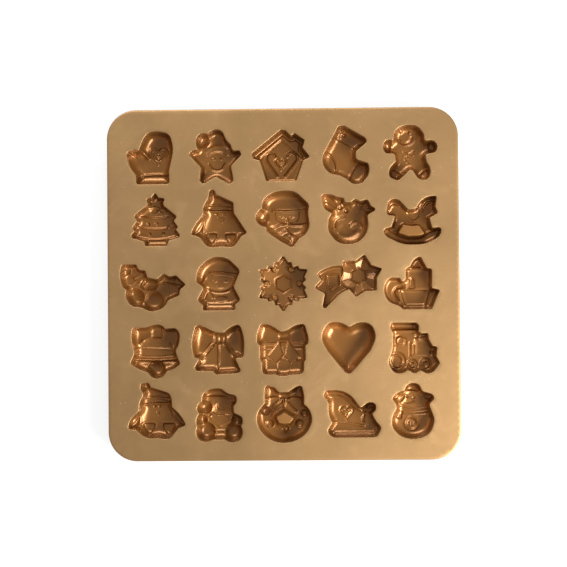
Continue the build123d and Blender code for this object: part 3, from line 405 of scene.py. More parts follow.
def bauble():
    mouth = [
        (-15.9, 14.5, 1.6), (-11, 15.4, 9.6), (-7.3, 13.4, 1.5), (-2.6, 12.6, 1.6), (-1.8, 10, 1),
        (1.9, 9.9, 1), (4.2, 12.1, 1.6), (7, 10.4, 1.6), (11.6, 11.7, 1.6), (13.5, 7.8, 2),
        (17.2, 5.4, 1.2), (11.5, 2, 1.5), (12.4, -7.1, 11.9), (5.8, -15.1, 10.2), (-5.8, -15.1, 10.2),
        (-12.3, -7, 9.1), (-11.4, 1, 5.9), (-9.3, 3.6, 1), (-14.5, 5.4, 6.6),
    ]

    def floor(p):
        ball = both(p.mouth, p.disc(0, -3.8, 12.2))
        depth = MIDDLE + 0.3 + swell(ball, 1.3, 8) + swell(both(p.mouth, -p.disc(0, -3.8, 11.9)), 0.5, 3)
        depth += p.dots([(-4.7, 6.6), (-2.4, 8), (-1, 4.6)], 1.5, 1.1)
        veins = [[(-15, 12), (-10.6, 10), (-5.4, 7)], [(-14.4, 9.6), (-10.4, 8.2), (-6, 5)],
                 [(-11, 13.4), (-7, 10)],
                 [(2, 6.6), (8, 7), (15, 5.4)], [(4, 9.6), (7, 7)], [(9.4, 9.8), (10, 7.2)], [(5.6, 3.4),
                                                                                              (7.6, 6.6)]]
        depth += p.lines(veins, -0.45, 0.45)
        swirls = [[(-8.4, -5), (-7.8, -2), (-5.8, 0.2), (-2.6, 1)],
                  [(1.2, -3.8), (3.6, -2.2), (5.8, -2.4), (7.8, -4.4)],
                  [(-5.4, -9.4), (-1.6, -10.8), (2, -10.2), (5.4, -8)]]
        depth += p.lines(swirls[:2], 0.8, 0.9) + p.lines(swirls[2:], 0.5, 1.4)
        return depth + p.lines([[(-6, -5), (-3.6, -2.6), (-0.6, -3.4), (0.4, -6), (3.2, -6.6)]], -0.3, 1.2)

    return dict(mouth=mouth, floor=floor, foot=3.0)


def rocking_horse():
    mouth = [
        (-14.9, 10.9, 3.5), (-9.5, 12.1, 4.8), (-3.3, 5.2, 3), (1.6, 5.6, 3), (5, 13, 10.4),
        (13.9, 13.3, 1.3), (12.9, 6.7, 2), (14.6, 2.9, 1.5), (9.4, 0, 1), (10.9, -5.8, 1),
        (16.6, -5.3, 1.8), (15.9, -10.7, 5.6), (7.5, -15.6, 17.5), (-6.5, -15.9, 20.6),
        (-16.4, -10.6, 6.4), (-18.9, -6.6, 2), (-13.2, -4.9, 1.2), (-11, 1.6, 0.8), (-16.5, 1.9, 2.5),
    ]

    def floor(p):
        depth = FULL - 0.9 + swell(p.mouth, 0.5, 4)
        rocker = [(-15, -6.2), (-12.6, -8.2), (-7, -10.8), (0, -11.6), (5, -10.8), (8.6, -8.4), (14.4, -6.6)]
        depth += p.lines([rocker], -0.9, 0.55)
        cloth = p.patch((-4.2, 7), (3.4, 7), (3.2, 0.8), (0, -1.6), (-3.8, 0.6), r=1.6)
        depth += raise_by(cloth, 0.6, 0.6) + p.lines([[(0, -1.5), (0, -4)]], -0.5, 0.5)
        hair = [[(-15, 7.6), (-12.6, 9.8), (-9.6, 9.6)], [(-14.6, 4.6), (-12.4, 7.4), (-8.6, 7)],
                [(3, 5.4), (5.6, 9.6), (9, 11.6)], [(4.6, 3.8), (7.2, 8), (10.2, 9.8)],
                [(-12.2, 0.6), (-11.6, -2.4), (-12.8, -5.4)], [(7.4, 0.4), (8, -3), (9.6, -6)]]
        depth += p.lines(hair, -0.65, 0.5)
        return depth + p.dots([(11.4, 10.2)], 0.8, 0.7)

    island = [
        (-9, -8.5, 0.5), (-6, -3.9, 1.2), (0, -4.8, 6), (3.2, -4.3, 1.2), (6.4, -9.1, 0.5),
        (3.4, -10.2, 3), (-3.4, -10.4, 5),
    ]
    return dict(mouth=mouth, floor=floor, foot=1.5, island=island)


def holly():
    mouth = [
        (-18.5, 12.6, 1.5), (-9.8, 12.6, 1.6), (-8.6, 9.3, 2), (-4.4, 8.8, 1.6), (-3.3, 4.8, 1),
        (2.4, 3.4, 2), (6.5, 7, 2), (9.6, 5.2, 1.5), (13.9, 5.8, 1.6), (19.9, 0.1, 1.2), (16.4, -2.6, 1.5),
        (15.7, -6.3, 1.6), (9, -9.2, 2), (6.8, -14, 8.9), (-1.5, -16.1, 6.6), (-6.5, -13.1, 12.6),
        (-13.3, -12.7, 5.8), (-16.8, -6, 6), (-15.6, -2.6, 1), (-17.6, -1.5, 1.2), (-20.4, 4.3, 18.4),
    ]

    def floor(p):
        berries = [p.disc(-10.2, -7.4, 5.8), p.disc(1, -9.4, 6), p.disc(-1, 0.6, 4.6)]
        depth = MIDDLE + 0.5 + swell(both(p.mouth, -either(*berries)), 0.5, 4)
        for berry in berries:
            depth += swell(both(p.mouth, berry), 2.3, 5.6)
        stems = [[(-17, 9.4), (-11.5, 4.6), (-7.4, 0.8)], [(5, 0.6), (9, 1), (17, -0.6)]]
        depth += p.lines(stems, -0.6, 0.5)
        knots = [[(-7.4, 0), (-5.6, 2.8)], [(-5.6, 0.4), (-3.8, 2.6)], [(-7, -0.8), (-5.2, -2.2)]]
        depth += p.lines(knots, 0.9, 0.5)
        veins = [[(-13, 6), (-12.6, 11)], [(-11, 4), (-6.6, 6.4)], [(-14, 6.6), (-17.6, 4)],
                 [(-9.6, 2.8), (-14, -1)],
                 [(7, 1), (8.4, 4)], [(12, 0.6), (13, 4)], [(9, 1), (10, -6)], [(13, 0.4), (15, -4)]]
        return depth + p.lines(veins, -0.3, 0.45)

    return dict(mouth=mouth, floor=floor, foot=2.8)


def hatted_child():
    mouth = [
        (-2, 16.8, 9.8), (5.7, 16.1, 10.5), (13.4, 8.4, 3), (9.3, -1.5, 3), (13.5, -9.3, 2),
        (10.2, -12, 0.8), (10.2, -15.4, 1.4), (-9.2, -15.4, 1.4), (-9.2, -12, 0.8), (-12.5, -9.2, 2),
        (-8.2, -1.6, 2), (-13, 1.6, 2.2), (-12.4, 8.6, 10.5), (-7.6, 14, 15.4),
    ]

    def floor(p):
        head = both(p.mouth, p.patch((-14, 5), (-9, 18), (14, 18), (14, 6), (9, -1), (5, -3.2), (0, -4),
                                     (-5, -2.4), (-9.4, 1), r=2))
        coat = both(p.mouth, -head, p.y + 12.6)
        depth = FULL - 0.8 + swell(head, 0.9, 6) + swell(coat, 0.5, 3) + swell(p.disc(-10.4, 3.4, 2.6), 0.6,
                                                                               2)
        depth += p.lines([[(-4.4, 7), (3, 7), (10.6, 5.8)]], -0.8,
                         0.6) + p.lines([[(-3, 5.2), (4, 5), (10, 3.8)]], -0.3, 0.5)
        depth += p.lines([[(-6.4, -2.8), (-3, -4.2), (1.8, -4.7), (6, -3.9), (8.6, -2.2)]], 0.8, 0.7)
        depth += p.lines([[(-8.2, -8.4), (-6.2, -4.4), (-4, -5.6), (-3.4, -7.4)]], 0.8, 0.7)
        depth += raise_by(p.oval(1.9, -8.6, 4, 1.7), 0.7, 0.6)
        depth += p.lines([[(-8.6, -11.2), (0, -11.4), (9, -11.2)]], -0.5, 0.6)
        depth += p.lines([[(-7, 4.6), (-8, 1.8), (-5.4, -0.8)]], -0.4, 0.8)
        depth += p.lines([[(-2.4, 2.2), (-1.3, 1.8), (-0.2, 2.2)], [(3.6, 2), (4.7, 1.6), (5.8, 2)]], 0.4,
                         0.4)
        return depth + p.lines([[(0, -1.2), (1.5, -1.8), (3, -1.2)]], 0.4, 0.4)

    return dict(mouth=mouth, floor=floor, foot=3.0)


def snowflake():
    mouth = [
        (-4.98, 13.18, 0.9), (-2.97, 13.06, 0.6), (0, 17.2, 0.9), (2.97, 13.06, 0.6), (4.98, 13.18, 0.9),
        (5.65, 9.99, 0.8), (8.75, 11, 0.9), (9.65, 9.2, 0.6), (14.72, 8.7, 0.9), (12.62, 4.06, 0.6),
        (13.73, 2.37, 0.9), (11.3, 0.2, 0.8), (13.73, -1.97, 0.9), (12.62, -3.66, 0.6), (14.72, -8.3, 0.9),
        (9.65, -8.8, 0.6), (8.75, -10.6, 0.9), (5.65, -9.59, 0.8), (4.98, -12.78, 0.9),
        (2.97, -12.66, 0.6), (0, -16.8, 0.9), (-2.97, -12.66, 0.6), (-4.98, -12.78, 0.9),
        (-5.65, -9.59, 0.8), (-8.75, -10.6, 0.9), (-9.65, -8.8, 0.6), (-14.72, -8.3, 0.9),
        (-12.62, -3.66, 0.6), (-13.73, -1.97, 0.9), (-11.3, 0.2, 0.8), (-13.73, 2.37, 0.9),
        (-12.62, 4.06, 0.6), (-14.72, 8.7, 0.9), (-9.65, 9.2, 0.6), (-8.75, 11, 0.9), (-5.65, 9.99, 0.8),
    ]

    def floor(p):
        x, y = p.x, p.y - 0.2
        around = (np.degrees(np.arctan2(y, x)) % 60 - 30) / 57.3
        along = np.hypot(x, y) * np.cos(around)
        hexagon = p.patch(*[(5.2 * math.sin(a),
                             0.2 + 5.2 * math.cos(a)) for a in np.radians(range(0, 360, 60))], r=0.2)
        depth = DEEP - 0.1 - 0.2 * np.clip(along - 5, 0, 8) + crease(hexagon, 0.6, 0.5)
        for k in range(6):
            a = math.radians(30 + 60 * k)
            depth -= swell(p.disc(9.7 * math.sin(a), 0.2 + 9.7 * math.cos(a), 1.9), 2.4, 0.7)
        return depth

    return dict(mouth=mouth, floor=floor, foot=0.8)


def comet():
    mouth = [
        (9.6, 17.3, 0.9), (13.5, 11, 1.2), (20, 8.8, 0.9), (16.7, 3, 1.2), (16.8, -4.3, 0.9),
        (10, -4.5, 1.2), (4.4, -8.1, 0.9), (0.4, -3.4, 1), (-4.1, -4.9, 17.1), (-14.6, -15.3, 1),
        (-15.6, -13, 1.5), (-14.2, -5.6, 1.5), (-18.4, -3.5, 1.5), (-20.4, -2.2, 1), (-16.2, 2.4, 1.2),
        (-18.9, 5.7, 1.2), (-12.1, 11.1, 20.1), (-3.2, 10.6, 1), (-3, 13.8, 1), (3.9, 13.4, 1.2),
    ]

    def floor(p):
        x, y = p.x - 6, p.y - 4.5
        around = ((np.degrees(np.arctan2(y, x)) - 15) % 60 - 30) / 57.3
        around = np.abs(np.abs(around) - 30 / 57.3)
        out = np.hypot(x, y)
        flat = p.patch(*[(6 + 4.9 * math.cos(a),
                          4.5 + 4.9 * math.sin(a)) for a in np.radians(range(30, 390, 60))], r=0.15)
        slope = 0.42 * out * np.sin(around) + 0.16 * np.clip(out * np.cos(around) - 4.2, 0, 12)
        depth = DEEP - np.where(flat > 0, 0.5, slope) + crease(flat, 0.5, 0.45)
        star = p.patch((9.6, 17.3), (13.5, 11), (20, 8.8), (16.7, 3), (16.8, -4.3), (10, -4.5), (4.4, -8.1),
                       (0.4, -3.4),
                       (-5, 0.6), (-3.4, 6), (-3, 13.8), (3.9, 13.4), r=0.4)
        panel = p.patch((-13, 5), (-5.6, 5.4), (-5.4, -1), (-9.8, -4.2), (-12.8, -1.4), r=0.4)
        tail = MIDDLE + 0.1 + raise_by(panel, 0.9, 0.6) - crease(panel, 0.5, 0.5)
        return np.where(star > 0, depth, tail) - crease(star, 0.5, 0.5)

    return dict(mouth=mouth, floor=floor, foot=0.8)


def candle():
    mouth = [
        (3.8, 16, 1.5), (7.5, 8.9, 1), (10.6, 8.4, 1.5), (10.3, -3, 1), (15.2, -4.2, 1), (10.2, -15.6, 1),
        (-6.8, -15.6, 1), (-8.7, -13.5, 10.2), (-15.9, -11.1, 7.5), (-18.8, -3, 9), (-15.2, 3.3, 4),
        (-8.6, 3.2, 1.5), (-7.4, 0.5, 1), (-5, 2.4, 1.2), (-5, 8.6, 1.2), (-2, 10.4, 1), (-1.1, 13.7, 6.4),
    ]

    def floor(p):
        bowl = both(p.mouth, p.patch((-9.6, -4), (16, -4.2), (10.6, -16.4), (-7.2, -16.4), r=0.6))
        handle = both(p.mouth, p.patch((-20, 6), (-5.4, 6), (-5.4, -3.8), (-9.4, -4), (-7, -17), (-20, -17),
                                       r=0.5))
        depth = MIDDLE + 0.5 + swell(both(p.mouth, p.y - 8.6), 0.9, 2.5) + swell(bowl, 1.0,
                                                                                 2) + swell(handle, 0.4, 2)
        depth += swell(both(p.mouth, 8.2 - p.y, p.y + 4, p.x + 5), 0.6, 3)
        depth += swell(p.patch((-3.6, -4), (0.8, -4), (0.4, 2), (-1.4, 4), (-3.2, 2.6), r=0.9), 0.9, 1.6)
        depth += p.lines([[(-5, 8.4), (2, 8.4), (9.6, 8.2)]], -0.5, 0.5)
        depth += p.lines([[(-7.6, -2.4), (-10.6, -3), (-12.2, -5.2), (-11.4, -8), (-9.6, -10.4)]], 1.0, 0.75)
        return depth + p.lines([[(-7.8, -5), (-4.8, -14)], [(8.2, -5), (5.8, -14)],
                                [(-3.8, -13), (5.2, -13)]], -0.5, 0.6)

    return dict(mouth=mouth, floor=floor, foot=1.9)


def bell():
    mouth = [
        (-12, 13.4, 1.8), (-4.6, 13.3, 1.5), (-1, 14.7, 23.8), (4.7, 15.5, 5.3), (7.2, 12.6, 1.2),
        (13.6, 13.1, 3.5), (16.1, 9.5, 5.5), (15.5, 3, 14.6), (13.4, -0.6, 1.2), (14.6, -5, 17.7),
        (16.3, -8.2, 1.8), (12.9, -11.5, 14.2), (8, -13, 1.5), (4.8, -17.2, 4.7), (-0.4, -17.1, 5.5),
        (-3.2, -13.6, 1.5), (-10.4, -10.7, 19.3), (-13.7, -7.9, 1.5), (-11.1, -2, 3), (-11.6, 0.4, 1.2),
        (-13.4, 8, 16.1),
    ]

    def floor(p):
        body = p.patch((-13, -5.4), (-11, 1), (-7, 4.8), (-2.4, 7.4), (6, 6.6), (13.2, 0.6), (14.4, -5.4),
                       r=2)
        knot = p.patch((-1, 15), (5.6, 15), (6, 6.6), (-1, 6.6), r=1.2)
        clapper = p.disc(2.2, -11.4, 5.5)
        depth = MIDDLE + 0.4 + swell(both(p.mouth, -body, -knot, p.y + 0.4), 0.8, 5)
        depth += swell(both(p.mouth, knot), 1.1, 2) + swell(both(p.mouth, body), 1.0, 5)
        depth += swell(both(p.mouth, clapper), 2.4, 5.2) - crease(clapper, 0.4, 0.5)
        depth += p.lines([[(-10.6, 0.6), (-4, 0.9), (3, 0.6), (9, 0.4), (12.6, -0.4)]], -0.5, 0.6)
        depth += p.lines([[(-10, -3.2), (-4, -4), (4, -4.2), (12.8, -3.4)]], 0.7, 0.7)
        depth += p.lines([[(-11.4, -5.4), (-4, -5.8), (5, -5.9), (14, -5.4)]], -0.7, 0.55)
        depth += p.lines([[(-11, -7.2), (-4, -7), (0, -7.6)], [(4.6, -7.6), (8, -7), (14, -7.2)]], 0.6, 0.6)
        return depth + p.lines([[(-7.4, 3.6), (-5.6, 5.4)], [(9.6, 3.6), (11.6, 1.6)]], -0.5, 0.5)

    return dict(mouth=mouth, floor=floor, foot=3.2)


def bow():
    mouth = [
        (-13.2, 15.2, 2.2), (-8.7, 13.8, 22.3), (-1.8, 9.9, 15.7), (3.2, 10, 1.5), (6.9, 13.4, 15.6),
        (12.6, 15.2, 2.5), (15.8, 7, 28), (15, -5, 2.2), (9.8, -5.2, 1), (13.6, -13.2, 1.5),
        (11, -14.3, 1.5), (-1.4, -15, 1.2), (-3.2, -13, 1), (-13.4, -12.8, 1.6), (-14.3, -10.6, 1.2),
        (-11.2, -5.2, 0.8), (-14.3, -5, 2), (-16.6, 3, 24.6),
    ]

    def floor(p):
        knot = p.patch((-2.7, 10.2), (5, 10.2), (4.6, 3.4), (-2.4, 3.4), r=0.8)
        left = p.patch((-16, 18), (-3.4, 11), (-3.2, 3.6), (-10.4, -1.4), (-12, -6), (-19, -6), (-20, 10),
                       r=1.5)
        right = p.patch((15, 18), (5.2, 11), (5, 3.8), (11.2, -0.6), (13.4, -6), (19, -6), (20, 10), r=1.5)
        depth = MIDDLE + 0.5 + swell(both(p.mouth, left), 0.9, 7) + swell(both(p.mouth, right), 0.9, 7)
        depth += swell(both(p.mouth, knot), 0.7, 2) + swell(both(p.mouth, -left, -right, -knot), 0.5, 4)
        depth += p.lines([[(-1.9, 9.6), (-1.7, 4)], [(1.2, 10), (1.1, 4)], [(4.2, 9.6), (3.8, 4)]], 0.6, 0.5)
        depth += p.lines([[(0.3, 2.6), (0.2, -8), (-1, -14.6)]], -0.9, 0.5)
        depth += p.lines([[(-2.8, 2.6), (-10.4, -7)], [(3.8, 2.6), (10.4, -6)]], 0.9, 0.5)
        depth += p.lines([[(-4, 3.4), (-11, -4.4)], [(5.2, 3.4), (11.8, -3)]], -0.7, 0.45)
        return depth + p.lines([[(-12.6, -10.8), (-2.6, -11.3)], [(1, -12.5), (12, -11.8)]], -0.5, 0.5)

    return dict(mouth=mouth, floor=floor, foot=4.0)


def gift():
    mouth = [
        (-13.3, 15.3, 2), (-7.9, 14.5, 15.4), (-2, 10.3, 3), (1.6, 10.6, 9), (6.4, 14.1, 12.3),
        (12.4, 15, 2), (15, 6, 10.7), (14.4, 3, 1.2), (12.9, 1.8, 0.8), (13, -6.5, 1), (12, -8, 0.8),
        (11.8, -15, 3), (3.6, -15.4, 1), (1.5, -16.1, 1), (-2.5, -16.1, 1), (-5, -15.2, 1),
        (-12.9, -15.2, 3), (-13.2, -7.6, 1), (-14.2, -5.4, 0.8), (-14.2, 2.3, 0.8), (-15.8, 3.9, 1.2),
        (-16.3, 8, 14),
    ]

    def floor(p):
        knot = p.patch((-3.4, 10.6), (3.9, 10.6), (3.8, 5.4), (-3.2, 5.4), r=0.8)
        left = p.patch((-2.5, 5), (-9.3, -3.7), (-4.2, -8.7), (0, -3.5), r=0.3)
        right = p.patch((2.5, 5), (9.5, -4), (4.5, -8.8), (0.3, -4), r=0.3)
        tails = either(left, right)
        loops = both(p.mouth, p.y - 3.6)
        depth = MIDDLE + 0.5 + swell(loops, 0.8, 6) + swell(both(p.mouth, knot), 0.7, 2)
        lid = p.lines([[(-14, 1.9), (14, 1.9)]], -0.5, 0.5) + p.lines([[(-14, -6), (14, -6)]], -0.9, 0.5)
        lid += p.lines([[(-12, 0.4), (-4.6, 0.4)], [(4.6, 0.4), (12, 0.4)]], 0.6, 0.5)
        ribbon = p.patch((-3.7, 3), (3.4, 3), (3.3, -18), (-3.6, -18), r=0.2)
        depth += raise_by(ribbon, 0.4, 0.5) + lid
        depth += p.lines([[(-11, 3.3), (11, 3.3)]], -0.5, 0.6)
        on_tails = MIDDLE + 0.7 + raise_by(tails, 0.8, 0.5) - crease(tails, 0.3, 0.4)
        return np.where(tails > -0.3, on_tails, depth)

    return dict(mouth=mouth, floor=floor, foot=3.0)


def heart():
    mouth = [
        (-12.5, 15.8, 6), (-5, 15.9, 12.4), (0, 12.7, 1.6), (6, 15.9, 11), (13.2, 14.9, 6.5),
        (16.5, 7, 9.3), (12.5, -1.5, 0), (2.7, -13, 3), (0, -15.4, 1.8), (-2.8, -14, 3), (-13, -1.2, 0),
        (-17.5, 7, 8.8),
    ]

    def floor(p):
        return FULL - 0.4 + swell(p.mouth, 1.2, 12)

    return dict(mouth=mouth, floor=floor, foot=5.5)


def train():
    mouth = [
        (-13.9, 15.1, 1.4), (1.2, 15.1, 1.6), (2.5, 13, 1.5), (2.3, 9.7, 0.8), (4, 8.6, 1),
        (7.8, 8.9, 1.2), (8.2, 5.2, 1.2), (10.4, 1.2, 1), (13.3, 0.6, 1.2), (12.6, -5, 1.5),
        (14.8, -9.2, 1.8), (10.8, -14.4, 5.1), (7.4, -15.5, 4.1), (3.2, -13.2, 1.5), (-0.2, -15.5, 2.5),
        (-4, -13, 1.5), (-7.6, -15.4, 6.7), (-12.8, -14.6, 5), (-16.4, -8.4, 6.6), (-13, -1.5, 17.8),
        (-12.9, 9.3, 1.5), (-14.6, 12.2, 1.5),
    ]

    def floor(p):
        roof = both(p.mouth, p.y - 10.4, 3.2 - p.x)
        window = p.patch((-11.8, 1.4), (-11.8, 6), (-8.7, 7.8), (-5.6, 6), (-5.6, 1.4), r=2)
        wheels = [(p.disc(-11, -7.6, 5.7), 2.3), (p.disc(-1.8, -9.6, 3.4), 1.9), (p.disc(6, -9.6, 4), 1.9)]
        boiler = both(p.mouth, p.patch((-0.8, 5.4), (8.4, 5.4), (13, 1), (13, -5), (-0.8, -5), r=1))
        depth = MIDDLE + 0.2 + swell(p.mouth, 0.5, 3) + swell(roof, 1.0, 2) + swell(boiler, 0.7, 3)
        depth += crease(window, 0.6, 0.5) - crease(window - 1.2, 0.4, 0.5)
        depth += p.lines([[(-14, 10.2), (-4, 10.3), (2.4, 10.2)]], -0.6, 0.55)
        for wheel, step in wheels:
            depth += swell(both(p.mouth, wheel), 1.0, 1.2) - crease(wheel - step, 0.9, 0.6)
        depth += p.lines([[(-2.8, 3), (-2.9, -5)], [(-0.8, 1.6), (-0.8, -3.6)]], 0.9, 0.5)
        depth += p.dots([(1, 6.7), (9.8, -2.7)], 1.3, 0.8) + p.lines([[(-0.8, 8.6), (2, 5.2)]], -0.4, 0.6)
        return depth + swell(both(p.mouth, p.patch((3, 11), (9, 11), (8.6, 6.2), (3, 6.2), r=0.6)), 0.6, 1.5)

    return dict(mouth=mouth, floor=floor, foot=1.7)


def penguin_chick():
    mouth = [
        (-7.6, 18.4, 1.7), (-3, 19.3, 1.6), (-1.6, 16.4, 2), (9.8, 12.7, 4.3), (11.1, 8, 14.6),
        (10.9, 4.6, 2), (16.5, -0.5, 26.7), (19.4, -6.5, 1.4), (14.6, -8.4, 1.2), (9.8, -14.3, 3.9),
        (6.5, -14.6, 11.3), (2, -13.9, 0), (-4.2, -15.3, 11.9), (-10.4, -9, 2), (-15.3, -8.6, 1.4),
        (-14.7, -3.7, 9.4), (-8.4, 2.6, 2.5), (-8.7, 6.6, 9.8), (-5.7, 12.2, 3), (-7.7, 15.4, 1.5),
    ]

    def floor(p):
        tilt = p.y - 0.05 * p.x
        body = p.patch((-5.2, 6.2), (10, 6.2), (12.4, -2), (12, -14), (-6, -14), (-6.6, -4), r=3)
        depth = FULL - 0.8 + swell(p.mouth, 0.5, 7) + swell(both(p.mouth, body), 1.3, 5)
        depth += swell(both(p.mouth, tilt - 6.6, 10.4 - tilt), 0.7, 1.8)
        depth += crease(tilt - 10.5, -0.5, 0.5) + crease(tilt - 6.5, -0.6, 0.55)
        depth += crease(tilt - 8.6 + 0.02 * (p.x - 1) ** 2, -0.4, 0.5)
        wings = [[(-6.8, 3.2), (-9, -1), (-12, -4.8)], [(-7, 2.4), (-7.6, -1.6), (-8.2, -6)],
                 [(11.4, 2), (13.4, -2), (16, -5.6)]]
        depth += p.lines(wings, -0.8, 0.6)
        depth += webbed_foot(p, -2.5, -4.9, 7.4, 8) + webbed_foot(p, 9.4, -5, 8, 8.2)
        depth += raise_by(p.patch((1.6, 2), (4, 1.6), (3, -0.6), r=0.3), 0.6, 0.6)
        return depth + p.dots([(0.9, 5.2), (4, 5)], 0.9, 0.8)

    return dict(mouth=mouth, floor=floor, foot=3.3)


def teddy():
    mouth = [
        (-5.2, 15.2, 9), (1.5, 15.5, 5.8), (5.1, 12.2, 9.1), (10.4, 11.2, 2.5), (10.9, 6.8, 4.6),
        (8.8, 4.7, 1.5), (8.9, 0.8, 1.5), (14, -1.6, 3), (14.3, -5.4, 5.5), (13.2, -7.3, 1),
        (14.8, -10.6, 6.5), (12.6, -15.9, 4.9), (7, -17.3, 6.9), (3.5, -15.1, 1.5), (-3.5, -15.1, 1.5),
        (-7.5, -16.8, 6.7), (-12.5, -15, 4.6), (-14, -10, 7.6), (-12.8, -7, 1), (-14.3, -3.6, 6.1),
        (-11.7, 0.3, 1), (-13.5, 3, 3.8), (-11.7, 6.9, 3), (-10, 7.6, 1), (-9.8, 12, 5.3),
    ]

    def floor(p):
        ear = p.disc(-7.9, 4.4, 4.3)
        paws = [p.disc(-10.4, -3.2, 4), p.disc(11.2, -3.2, 4)]
        feet = [p.disc(-7, -9.8, 5.4), p.disc(9, -10, 5.4)]
        parts = either(ear, *paws, *feet)
        depth = FULL - 0.9 + swell(p.mouth, 0.4, 6) + swell(both(p.mouth, p.y - 10 + 0.02 * p.x), 0.8, 3)
        depth += swell(both(p.mouth, parts), 2.1, 4.8) - crease(parts, 0.3, 0.5)
        depth += swell(both(p.mouth, 10 - p.y, p.y + 1.4, -ear), 0.7, 4) + swell(p.disc(1.4, 3.4, 4), 0.8,
                                                                                 2.5)
        depth += p.lines([[(-7.4, 10.2), (0, 10.4), (9.6, 9.4)]], -0.7, 0.6)
        depth += raise_by(p.oval(1.2, 3.9, 2.3, 1.3, -38), 0.7, 0.6)
        bib = p.patch((-5.6, -0.6), (9, -0.8), (6, -5), (1.4, -7.4), (-3, -4.4), r=1)
        depth += raise_by(both(bib, -parts), 0.5, 0.6) - crease(both(bib, -parts + 0.3), 0.4, 0.5)
        depth += p.lines([[(-5.4, -0.2), (-3.6, 0.8), (-1.6, 0.3)], [(0.6, -0.2), (3, -0.2)]], 0.7, 0.5)
        return depth + p.lines([[(-2.4, -9.8), (1, -9.6), (4.2, -9.8)]], -0.6, 0.8)

    return dict(mouth=mouth, floor=floor, foot=3.2)


def wreath():
    mouth = [
        (-11, 16.8, 1.6), (-6.1, 16.8, 6.3), (-3.4, 12.8, 2.5), (2.3, 12.9, 2), (7.3, 16.3, 7.4),
        (10.4, 16.8, 1.6), (11.9, 12, 22.3), (11.8, 5.6, 1.2), (15, 3.1, 10.5), (17, -4, 9.2),
        (13.4, -11.8, 14.1), (6.1, -16.6, 16.7), (-3, -17.6, 15.8), (-11.3, -13.8, 15), (-16.3, -6.7, 11),
        (-16.3, 0.8, 9.7), (-11.6, 6.3, 1.2), (-12, 11, 35.7),
    ]

    def floor(p):
        left = p.patch((-1, 9.4), (-7.6, 3.6), (-4.2, -0.9), (0.6, 1.6), r=0.3)
        right = p.patch((1, 9.4), (8.4, 1.6), (5.2, -1.1), (0.2, 1.8), r=0.3)
        tails = either(left, right)
        bow = both(p.mouth, p.y - 8.8)
        knot = p.patch((-3, 13), (3.4, 13), (3.4, 7), (-3, 7), r=0.8)
        depth = MIDDLE + 0.6 + swell(p.mouth, 0.9, 6) + swell(bow, 0.6, 4) + swell(both(p.mouth, knot), 0.7,
                                                                                   2)
        depth += p.lines([[(-10.8, 9), (-5, 9.8), (-1, 8.4)], [(1.6, 8.4), (6, 9.6), (10.8, 8.8)]], -0.7,
                         0.55)
        for x, y, size in ((-11, 1.8, 3), (-8.6, -5.6, 2.7), (0.5, -9, 2.5), (9, -5.6, 2.7), (12, 0.4, 2.5)):
            depth += swell(p.disc(x, y, size), 1.1, 2.4) - crease(p.disc(x, y, size), 0.3, 0.5)
        depth -= swell(p.disc(0.5, -9, 1.1), 0.9, 1)
        on_tails = MIDDLE + 0.8 + raise_by(tails, 0.8, 0.5) - crease(tails, 0.4, 0.4)
        on_tails += p.lines([[(-1.2, 7.4), (-6.2, 3.2)], [(1.6, 7.4), (7, 2)]], 0.6, 0.45)
        return np.where(tails > -0.3, on_tails, depth)

    island = [(-4.7, -2.2, 1), (0.1, 0.8, 0.8), (5.6, -2.8, 1), (3, -5.7, 1.2), (-0.2, -6, 3),
              (-3.2, -5.5, 1.2)]
    return dict(mouth=mouth, floor=floor, foot=2.8, island=island)


def sleigh():
    mouth = [
        (-14.6, 13.6, 1.8), (-6, 14, 14.5), (0.6, 11.1, 13), (6.4, 3.2, 1), (11.2, 7, 4.5),
        (15.6, 5.8, 2.5), (15.5, 1.4, 3.2), (13.2, -0.2, 1.2), (15.1, -4.5, 19.7), (18.9, -8.4, 3),
        (16, -14.2, 3), (-11.1, -14.3, 5), (-13.5, -10.3, 2.5), (-10.3, -5.3, 1.2), (-12.7, -1.5, 12.8),
        (-12.6, 6.5, 4), (-15.4, 10.7, 1.6),
    ]

    def floor(p):
        body = p.patch((-20, 10.3), (-8, 10.5), (-3, 8.9), (1, 5.4), (4.2, 2.8), (8.8, 0.6), (8.4, -7),
                       (-20, -5), r=1)
        depth = FULL - 0.9 + swell(p.mouth, 0.5, 5) + raise_by(body, 0.5, 0.8)
        rail = [(-14.6, 10.4), (-8, 10.5), (-3, 9), (1, 5.6), (4, 3), (8.6, 0.6)]
        depth += p.lines([rail], -0.7, 0.55) + p.lines([[(-11, -5), (-2, -5.6), (8, -7)]], -0.9, 0.6)
        emblem = p.heart(-2, 0.4, 7.6, 8)
        depth += crease(emblem, 0.6, 0.5) - crease(emblem - 1.6, 0.3, 0.4)
        depth += p.dots([(-4, 1.8), (-0.2, 1.8), (-2, -0.8)], 0.8, 0.5)
        depth += p.lines([[(-11, -10.8), (12, -11), (15.4, -9.6)]], -0.7, 0.55)
        depth += p.lines([[(-11, -12.4), (13, -12.6)]], 0.5, 0.5)
        depth += p.lines([[(8.4, 2.2), (11.4, 1), (13.8, 3), (12.4, 4.8), (10.8, 3.6)]], 0.8, 0.8)
        return depth + p.lines([[(8.8, -0.8), (7.6, -3), (8.4, -5)]], 0.7, 0.6)

    return dict(mouth=mouth, floor=floor, foot=2.8)


